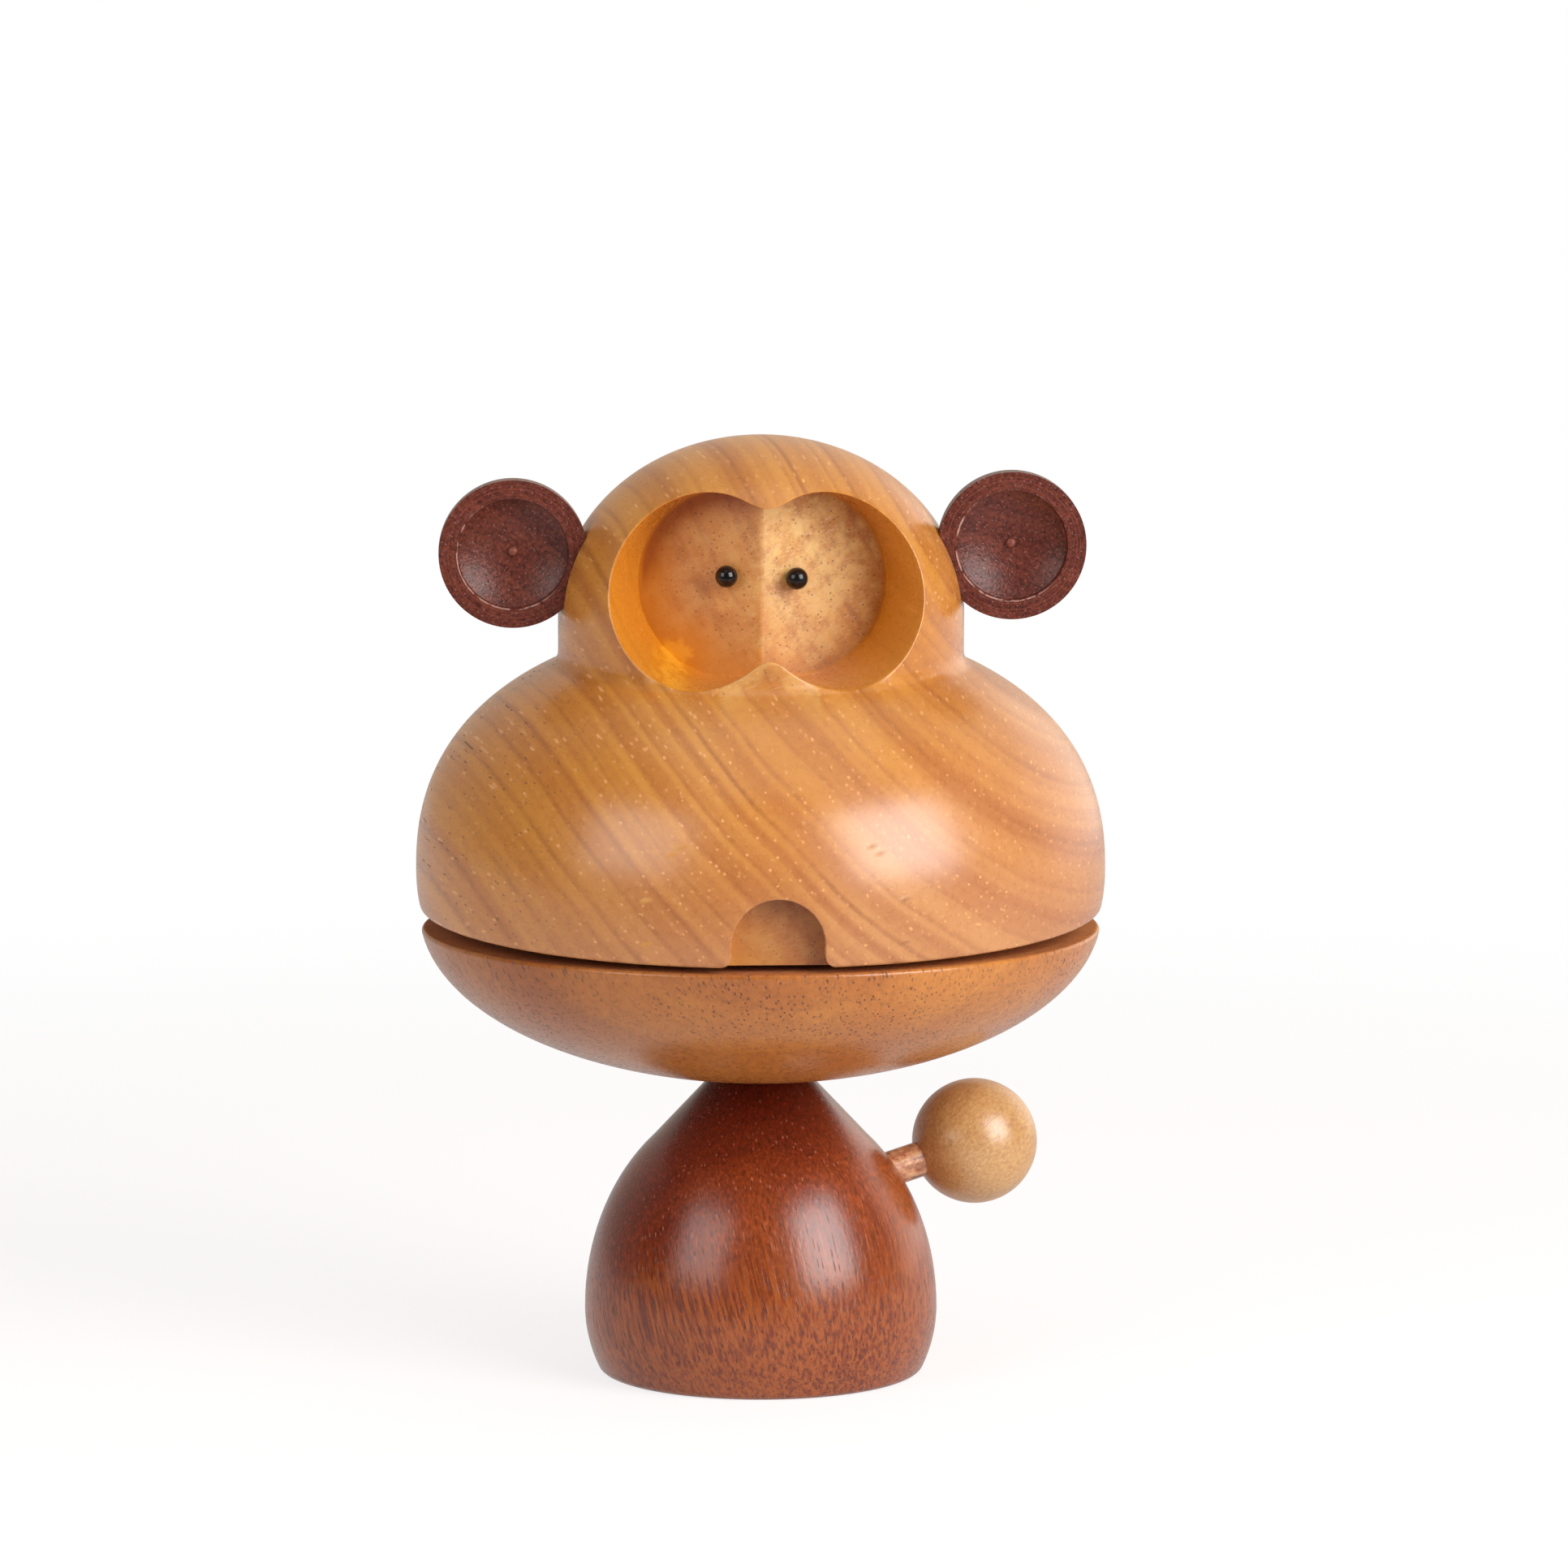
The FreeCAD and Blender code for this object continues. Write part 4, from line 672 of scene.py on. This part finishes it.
# %% Give every piece its finish
finish_of = {"dark_wood": red, "light_wood": honey, "peg_wood": copper, "ball_wood": tan,
             "plywood": plywood, "black_eye": bead, "brass": brass, "steel": steel, "cast_frame": casting,
             "white_plastic": moulded}
own_finish = {"jaw": jaw_wood, "left_ear": ear_wood("left_ear"), "right_ear": ear_wood("right_ear")}
own_finish["ear_dowels"] = own_finish["left_ear"]
for part in frame["record"]["subparts"]:
    node = frame["nodes"][part["node"]]
    made = own_finish.get(part["node"]) or finish_of[part["material_slot"]]
    for place in node.material_slots:
        place.material = made
    if not node.material_slots:
        node.data.materials.append(made)

# %% [markdown]
# ## The head, sanded
#
# The head is one block, turned on a lathe, then bored twice from the front for the eyes and notched at the
# mouth. On the real one a thumb can feel that sandpaper broke every edge: the rim of the recess and the mouth
# catch a thin line of light, and the two points of wood between the bores are blunt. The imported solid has
# sharp edges there, because its kernel couldn't round them. A bevel on a finished mesh tears where the
# triangles are thin. So the surface is worked out again from the same sizes, as sheets of points that meet.

# %% The turned profile
muzzle_floor = 68.6
lean = math.radians(2.5)
muzzle_half, muzzle_widest, muzzle_rise, muzzle_drop, muzzle_power = 49.95, 5.65, 35.1, 27.0, 2.3
dome_half, dome_wall_top, dome_rise = 29.3, 43.1, 25.3
crease_round, foot_round = 2.0, 0.7


def muzzle_radius(z):
    """A superellipse above and below the widest ring: half width * (1 - (distance / reach)^p)^(1/p)."""
    above = z - muzzle_widest
    reach = np.where(above > 0, muzzle_rise, muzzle_drop)
    return muzzle_half * (1 - np.minimum(1, np.abs(above) / reach) ** muzzle_power) ** (1 / muzzle_power)


def arc(middle, radius, start, end, count):
    """Points on a circle, as rows of radius and height."""
    turn = np.linspace(start, end, count)
    return np.stack([middle[0] + radius * np.cos(turn), middle[1] + radius * np.sin(turn)], 1)


def head_profile():
    """Radius and height along the outline: foot arc, superellipse, crease arc, straight wall, ellipse to the
    top. An arc's middle is where the superellipse, moved out or in by the arc's radius, reaches the other
    line."""
    z = np.linspace(0, muzzle_widest + muzzle_rise - 0.01, 20001)
    r = muzzle_radius(z)
    slope = np.stack([np.gradient(z), -np.gradient(r)], 1)
    normal = slope / np.linalg.norm(slope, axis=1)[:, None]
    low = int(np.argmax(z - foot_round * normal[:, 1] >= foot_round))
    high = int(np.argmax((r + crease_round * normal[:, 0] <= dome_half + crease_round) & (z > muzzle_widest)))
    foot_middle = (r[low] - foot_round * normal[low, 0], foot_round)
    crease_middle = (dome_half + crease_round, z[high] + crease_round * normal[high, 1])
    foot = arc(foot_middle, foot_round, -math.pi / 2, math.atan2(normal[low, 1], normal[low, 0]), 12)
    side = np.stack([r[low:high], z[low:high]], 1)[::20]
    crease = arc(crease_middle, crease_round,
                 2 * math.pi + math.atan2(-normal[high, 1], -normal[high, 0]), math.pi, 16)
    turn = np.linspace(0, math.pi / 2, 400)
    dome = np.stack([dome_half * np.cos(turn), dome_wall_top + dome_rise * np.sin(turn)], 1)
    marks = np.cumsum([len(foot), len(side), len(crease), len(dome)])
    return np.concatenate([foot, side, crease, dome]), marks


outline, marks = head_profile()
travel = np.concatenate([[0], np.cumsum(np.linalg.norm(np.diff(outline, axis=0), axis=1))])
print("outline length:", round(travel[-1], 1), "mm; top:", round(outline[-1, 1], 1), "mm")


def on_turning(theta, along):
    """Points on the turned surface: theta round the axis from the face, and a distance along the outline."""
    theta, along = np.broadcast_arrays(theta, along)
    r, z = np.interp(along, travel, outline[:, 0]), np.interp(along, travel, outline[:, 1])
    return np.stack([r * np.sin(theta), -r * np.cos(theta), z], -1)


def leaned(points):
    """Upright head to standing head: turned about the middle of the muzzle's floor, then lifted."""
    x, y, z = points[..., 0], points[..., 1], points[..., 2]
    return np.stack([x, y * math.cos(lean) - z * math.sin(lean),
                     muzzle_floor + y * math.sin(lean) + z * math.cos(lean)], -1)


def upright(points):
    """Standing head back to upright head."""
    x, y, z = points[..., 0], points[..., 1], points[..., 2] - muzzle_floor
    return np.stack([x, y * math.cos(lean) + z * math.sin(lean),
                     -y * math.sin(lean) + z * math.cos(lean)], -1)


# %% Helpers for sheets of points
def halved(test, low, high, rounds=40):
    """Where a test turns from negative to positive between two arrays, by halving the gap many times."""
    for _ in range(rounds):
        middle = (low + high) / 2
        inside = test(middle) < 0
        low, high = np.where(inside, middle, low), np.where(inside, high, middle)
    return (low + high) / 2


def between(first, last, shares):
    """Rows of points from the first line to the last one, at those shares of the way."""
    shares = np.asarray(shares)[:, None, None]
    return first * (1 - shares) + last * shares


def rounded(first, corner, last, count=5):
    """Rows of points on a parabola from the first line to the last one that leans into the corner line."""
    t = np.linspace(0, 1, count)[:, None, None]
    return (1 - t) ** 2 * first + 2 * t * (1 - t) * corner + t ** 2 * last


def quads(rows, columns, start, keep=None):
    """Four-sided faces of a sheet whose points are numbered row by row from start."""
    i, j = np.meshgrid(np.arange(rows - 1), np.arange(columns - 1), indexing="ij")
    a = start + i * columns + j
    faces = np.stack([a, a + 1, a + 1 + columns, a + columns], -1)
    return faces[keep] if keep is not None else faces.reshape(-1, 4)


def sewn(name, sheets, body, made, sharp_from=math.radians(40)):
    """One closed mesh of sheets of points in millimetres, with equal points merged and faces outwards."""
    points, faces, start = [], [], 0
    for sheet, keep in sheets:
        rows, columns = sheet.shape[:2]
        points.append(sheet.reshape(-1, 3))
        faces.append(quads(rows, columns, start, keep))
        start += rows * columns
    mesh = bpy.data.meshes.new(name)
    mesh.from_pydata((np.concatenate(points) * mm).tolist(), [], np.concatenate(faces).tolist())
    work = bmesh.new()
    work.from_mesh(mesh)
    bmesh.ops.remove_doubles(work, verts=work.verts, dist=0.002 * mm)
    bmesh.ops.dissolve_degenerate(work, edges=work.edges, dist=0.001 * mm)
    bmesh.ops.recalc_face_normals(work, faces=work.faces)
    open_edges = sum(1 for edge in work.edges if len(edge.link_faces) != 2)
    work.to_mesh(mesh)
    work.free()
    mesh.shade_smooth()
    mesh.set_sharp_from_angle(angle=sharp_from)
    mesh.materials.append(made)
    piece = placed(name, mesh)
    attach(piece, body)
    print(name, "faces:", len(mesh.polygons), "open edges:", open_edges)
    return piece


# %% The grid on the turned surface
columns = 288
knots = [0.0, travel[marks[0]], travel[marks[1]], travel[marks[2]], travel[-1]]
rows_between = (5, 84, 9, 72)
along_rows = np.concatenate([np.linspace(a, b, n, endpoint=False)
                             for a, b, n in zip(knots, knots[1:], rows_between)] + [[knots[-1]]])
thetas = np.linspace(-math.pi, math.pi, columns + 1)
turned_sheet = on_turning(thetas[None, :], along_rows[:, None])
turned_sheet[:, -1] = turned_sheet[:, 0]
height_of_row = np.interp(along_rows, travel, outline[:, 1])
kept_cells = np.ones((len(along_rows) - 1, columns), bool)
face_column = columns // 2


def row_above(height):
    """The grid's first row above that height."""
    return int(np.argmax(height_of_row > height))


def window(first_row, last_row, half_columns):
    """Takes a window out of the grid in front of the face. Gives its left and right columns."""
    left, right = face_column - half_columns, face_column + half_columns
    kept_cells[first_row:last_row, left:right] = False
    return left, right


print("grid:", turned_sheet.shape[0], "rows of", columns)


# %% [markdown]
# ## The eye recess
#
# Two level bores lean apart from the middle, and a third, smaller cut takes the sharp points off. Their
# outline is the smooth lowest of three distances, which rounds the points as sandpaper does. From the middle
# of the recess each direction meets that outline once, so the rim is found by halving, and the walls, the
# sanded rim and the two floors are all sheets over the same directions.

# %% Work out the recess
bore_splay = math.radians(19.0)
bore_half, bore_offset, ridge_forward, right_deeper = 13.6, 5.3, 13.2, 0.4
bore_height = muzzle_floor + 48.05
waist_half, waist_raise = 10.2, 1.1
tip_blend = 1.6
rim_sanding = 0.35
ridge_softness = 0.08


def smooth_lowest(a, b, reach):
    """The lower of two distances, rounded where they are within reach of each other."""
    share = np.clip(0.5 + 0.5 * (b - a) / reach, 0, 1)
    return b * (1 - share) + a * share - reach * share * (1 - share)


def outside_bores(x, y, z):
    """How far points are outside the recess: the smooth lowest distance to its bores and its waist."""
    gap = np.hypot(x, z - bore_height - waist_raise) - waist_half
    for side in (-1, 1):
        away = x - side * bore_offset * math.cos(bore_splay)
        back = y + ridge_forward - bore_offset * math.sin(bore_splay)
        across = away * math.cos(bore_splay) + side * back * math.sin(bore_splay)
        gap = smooth_lowest(gap, np.hypot(across, z - bore_height) - bore_half, tip_blend)
    return gap


def on_bores(direction, y, away=0.0):
    """Points on the recess's wall at a depth y, in some directions from its middle, or that far outside."""
    across, up = np.cos(direction), np.sin(direction)
    reach = halved(lambda r: outside_bores(r * across, y, bore_height + r * up) - away,
                   np.full(direction.shape, 4.0), np.full(direction.shape, 24.0))
    return np.stack([reach * across, y + 0 * reach, bore_height + reach * up], -1)


def outside_turning(points):
    """How far points are outside the turned block, across its axis."""
    local = upright(points)
    return np.hypot(local[..., 0], local[..., 1]) - np.interp(local[..., 2], outline[:, 1], outline[:, 0])


def rim_line(direction, away=0.0):
    """Where the wall, or a line that far outside it, comes out of the turned surface."""
    y = halved(lambda front: outside_turning(on_bores(direction, -front, away)),
               np.full(direction.shape, ridge_forward), np.full(direction.shape, 48.0))
    return on_bores(direction, -y, away)


def floor_depth(x):
    """The deeper one of two planes square to their bores, with a soft ridge where they meet."""
    step = right_deeper / math.cos(bore_splay) / 2
    slope = math.tan(bore_splay)
    return -ridge_forward + step + np.sqrt((slope * x + step) ** 2 + ridge_softness ** 2) - ridge_softness


window_foot, window_top, window_half_columns = 30.5, 66.3, 46
low_row, high_row = row_above(window_foot), row_above(window_top)
left, right = window(low_row, high_row, window_half_columns)
edge = [(thetas[j], along_rows[low_row]) for j in range(left, right)]
edge += [(thetas[right], along_rows[i]) for i in range(low_row, high_row)]
edge += [(thetas[j], along_rows[high_row]) for j in range(right, left, -1)]
edge += [(thetas[left], along_rows[i]) for i in range(high_row, low_row - 1, -1)]
edge = np.array(edge)
middle_along = float(np.interp(bore_height - muzzle_floor, outline[:, 1], travel))
direction = np.arctan2(edge[:, 1] - middle_along, dome_half * edge[:, 0])

sanded_from = rim_line(direction, rim_sanding)
sharp_rim = rim_line(direction)
depth = sharp_rim[:, 1] + rim_sanding
sanded_to = on_bores(direction, depth)
local = upright(sanded_from)
rim_spot = np.stack([np.arctan2(local[:, 0], -local[:, 1]),
                     np.interp(local[:, 2], outline[:, 1], travel)], -1)
around = between(edge, rim_spot, np.linspace(0, 1, 18) ** 0.8)
around_sheet = leaned(on_turning(around[..., 0], around[..., 1]))
around_sheet[-1] = sanded_from
floor_edge_y = depth * 0 - ridge_forward
for _ in range(12):
    floor_edge_y = floor_depth(on_bores(direction, floor_edge_y)[:, 0])
wall_sheet = np.stack([on_bores(direction, depth * (1 - t) + floor_edge_y * t)
                       for t in np.linspace(0, 1, 14)])
floor_edge = wall_sheet[-1]
spokes = np.linspace(1, 0, 22)[:, None]
across = floor_edge[None, :, 0] * spokes
floor_sheet = np.stack([across, floor_depth(across),
                        bore_height + (floor_edge[None, :, 2] - bore_height) * spokes], -1)
recess_sheets = [(around_sheet, None), (rounded(sanded_from, sharp_rim, sanded_to), None), (wall_sheet, None),
                 (floor_sheet, None)]
print("recess:", np.ptp(sharp_rim[:, 0]).round(1), "by", np.ptp(sharp_rim[:, 2]).round(1), "mm")

# %% [markdown]
# ## The mouth notch
#
# An arch is cut from the front, 3.5 mm deep with a flat back, and its feet flare out in small curves. Its
# outline is a line of arcs, laid on the turned surface, with its edge sanded as the recess is.

# %% Work out the notch
notch_half, notch_depth, arch_foot, flare, notch_shift = 6.5, 3.5, 3.3, 1.8, 0.35
notch_sanding = 0.3
notch_floor = notch_depth - muzzle_half
notch_window_top, notch_half_columns = 13.5, 13
notch_row = row_above(notch_window_top)
notch_left, notch_right = window(0, notch_row, notch_half_columns)
sill = [(thetas[notch_left], along_rows[i]) for i in range(notch_row)]
sill += [(thetas[j], along_rows[notch_row]) for j in range(notch_left, notch_right)]
sill += [(thetas[notch_right], along_rows[i]) for i in range(notch_row, -1, -1)]
sill = np.array(sill)

quarter = math.pi / 2
arch = np.concatenate([
    arc((-notch_half - flare, flare), flare, -quarter, 0, 30),
    arc((0, arch_foot), notch_half, math.pi, 0, 120),
    arc((notch_half + flare, flare), flare, math.pi, 3 * quarter, 30),
])
gone = np.concatenate([[0], np.cumsum(np.linalg.norm(np.diff(arch, axis=0), axis=1))])
even = np.linspace(0, gone[-1], len(sill))
arch = np.stack([np.interp(even, gone, arch[:, 0]), np.interp(even, gone, arch[:, 1])], 1)
tangent = np.gradient(arch, axis=0)
tangent /= np.linalg.norm(tangent, axis=1)[:, None]
sanding = notch_sanding * np.minimum(1, arch[:, 1] / flare)
arch[:, 0] += notch_shift
wider = arch + sanding[:, None] * np.stack([-tangent[:, 1], tangent[:, 0]], 1)
wider[:, 1] = np.maximum(0, wider[:, 1])


def on_front(spots):
    """Points of the turned surface in front of those x and z."""
    r = np.interp(spots[:, 1], outline[:, 1], outline[:, 0])
    return np.stack([spots[:, 0], -np.sqrt(r ** 2 - spots[:, 0] ** 2), spots[:, 1]], -1)


notch_from, notch_rim = on_front(wider), on_front(arch)
notch_to = notch_rim + np.stack([0 * sanding, sanding, 0 * sanding], -1)
notch_back = notch_rim.copy()
notch_back[:, 1] = notch_floor
pole = np.broadcast_to([notch_shift, notch_floor, 0.0], notch_back.shape)
spot = np.stack([np.arctan2(notch_from[:, 0], -notch_from[:, 1]),
                 np.interp(notch_from[:, 2], outline[:, 1], travel)], -1)
laid = between(sill, spot, np.linspace(0, 1, 10))
laid_sheet = on_turning(laid[..., 0], laid[..., 1])
laid_sheet[-1] = notch_from
notch_sheets = [laid_sheet, rounded(notch_from, notch_rim, notch_to),
                between(notch_to, notch_back, np.linspace(0, 1, 5)),
                between(notch_back, pole, np.linspace(0, 1, 8))]
print("notch:", 2 * notch_half, "by", round(float(arch[:, 1].max()), 1), "mm")

# %% [markdown]
# ## The underside of the head
#
# The muzzle's floor is flat, and a stepped hollow under it takes the board and the movement. The floor runs
# from the foot of the turned surface, and round the notch, to the hollow's edge.

# %% Close the head from below
left_foot = np.concatenate([sheet[:, 0] for sheet in notch_sheets])
right_foot = np.concatenate([sheet[:, -1] for sheet in notch_sheets])[::-1]
front_feet = np.concatenate([left_foot, right_foot])
other_feet = np.concatenate([turned_sheet[0, notch_right:], turned_sheet[0, 1:notch_left + 1]])
feet = leaned(np.concatenate([front_feet, other_feet]))
feet_turn = np.concatenate([np.linspace(thetas[notch_left], thetas[notch_right], len(front_feet)),
                            thetas[notch_right:], thetas[1:notch_left + 1] + 2 * math.pi])


def ring(radius, height=None):
    """A level ring of points under the feet, or one on the leaned floor."""
    x, y = radius * np.sin(feet_turn), -radius * np.cos(feet_turn)
    z = muzzle_floor + y * math.tan(lean) if height is None else np.full(x.shape, height)
    return np.stack([x, y, z], -1)


board_half, board_top, cavity_half, cavity_top = 41.8, 73.6, 36.6, 95.4
under_sheet = np.stack([feet, ring(board_half), ring(board_half, board_top), ring(cavity_half, board_top),
                        ring(cavity_half, cavity_top), ring(0.0, cavity_top)])
head_sheets = [(leaned(turned_sheet), kept_cells), (under_sheet, None)] + recess_sheets
head_sheets += [(leaned(sheet), None) for sheet in notch_sheets]
turned_head = sewn("turned_head", head_sheets, "head", honey)

# %% [markdown]
# ## Where the cutter and the oil left their marks
#
# The cutter left the recess's floor rougher on the right, with pale patches that are in part a painted
# highlight, and more of them at the top of the right floor as painted light. The tongue of wood below its
# waist is paler and rougher, most along the rim, and the head's underside is rough too. The oil lies orange
# on the walls and toward the lower left, in part a painted glow of light bounced in the recess, with a
# yellow painted glow in the lower left corner. Beside the walls, most at the upper left, the floor is
# darker as painted shade. In the mouth's notch the end grain is dark with oil, darker toward the top as
# painted shade and oranger toward the lower left as painted light. Three numbers on each point of the mesh
# say how much, and the wood reads them. A painted picture would do it too, but these follow the shape when
# a size changes.

# %% Mark the head's wood
# The third number is how far the painted shade reaches from the recess's walls.
touching, recess_reach, wall_shade_reach = 0.02, 20, 5
notch_rough, tongue_pale, tongue_half, tongue_low, tongue_high = 0.7, 0.5, 7, -20, -6
# Where the yellow painted glow lies in the recess's lower left corner, and how far it reaches.
glow_middle, glow_reach = (-12.5, -11.0), (7.5, 6.0)


def clipped(amounts):
    """Numbers cut off below 0 and above 1."""
    return np.clip(amounts, 0, 1)


spots = np.empty(3 * len(turned_head.data.vertices))
turned_head.data.vertices.foreach_get("co", spots)
x, y, z = (spots.reshape(-1, 3) / mm).T
up, above_floor = z - bore_height, z - muzzle_floor - y * math.tan(lean)
off_edge = outside_bores(x, y, z)
in_recess = (up > -recess_reach) & (off_edge < 0.05) & (y < 0)
on_floor = in_recess & (np.abs(y - floor_depth(x)) < touching) & (off_edge < -0.2)
on_wall = in_recess & ~on_floor & (off_edge > -0.1)
off_notch_floor = upright(np.stack([x, y, z], -1))[:, 1] - notch_floor
in_notch = (np.abs(off_notch_floor) < touching) & (z < cavity_top)
on_tongue = (np.abs(x) < tongue_half) & (up > tongue_low) & (up < tongue_high) & (y < 0) & (off_edge > 0)
to_low_left = 4 - above_floor - 1.6 * x

# More torn wood and pale patches on the right floor, in part a painted highlight, and more toward its top as
# painted light.
floor_torn_and_lit = 0.80 + 0.32 * np.tanh(x / 2) + 0.04 * up * (x > 0)
bored = np.where(on_floor, floor_torn_and_lit, np.where(in_notch, notch_rough, above_floor < 0.05))
bored = np.maximum(bored, tongue_pale * on_tongue * clipped(1 - np.abs(off_edge - 0.5) / 5))

# Orange: oil, and in part a painted glow of light bounced in the recess, on the walls and toward the lower
# left of the floor. In the notch it is oranger toward the lower left as painted light, and a yellow painted
# glow fills the recess's corner.
pooled_and_glow = clipped((-4 - x - 0.9 * up) / 10) * clipped(1 + (off_edge + 1) / 7)
notch_oil_and_glow = np.clip(0.35 + 0.06 * to_low_left, 0.1, 1.15) * in_notch
painted_glow = clipped(1.3 - np.hypot((x - glow_middle[0]) / glow_reach[0],
                             (up - glow_middle[1]) / glow_reach[1]))
oil_and_glow = np.where(on_wall, 1.0, np.where(on_floor, pooled_and_glow, notch_oil_and_glow))
oil_and_glow = np.where(in_recess, np.maximum(oil_and_glow, 1.5 * painted_glow), oil_and_glow)

# Painted shade beside the recess's walls, most at the upper left; the whole left floor is a little darker and
# redder too.
shade_by_wall = clipped(1 + off_edge / wall_shade_reach) ** 1.5
soak_and_shade = on_floor * shade_by_wall * np.where(x < 0, 1.8 * clipped((up + 3) / 6), 0.55)
soak_and_shade = np.maximum(soak_and_shade, 0.22 * on_floor * (x < 0))
# The notch's end grain is dark with oil, and darker toward the top as painted shade.
soak_and_shade += clipped(0.70 - 0.04 * to_low_left) * in_notch

for title, amounts in (("bored", bored), ("oil_and_glow", oil_and_glow), ("soak_and_shade", soak_and_shade)):
    marked = turned_head.data.attributes.new(title, "FLOAT", "POINT")
    marked.data.foreach_set("value", amounts.astype(np.float32))
print("points on the recess's floor:", int(on_floor.sum()), "and in the notch:", int(in_notch.sum()))
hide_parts("head_block")

# %% Finish
scene = bpy.context.scene
scene.view_settings.view_transform = "Standard"
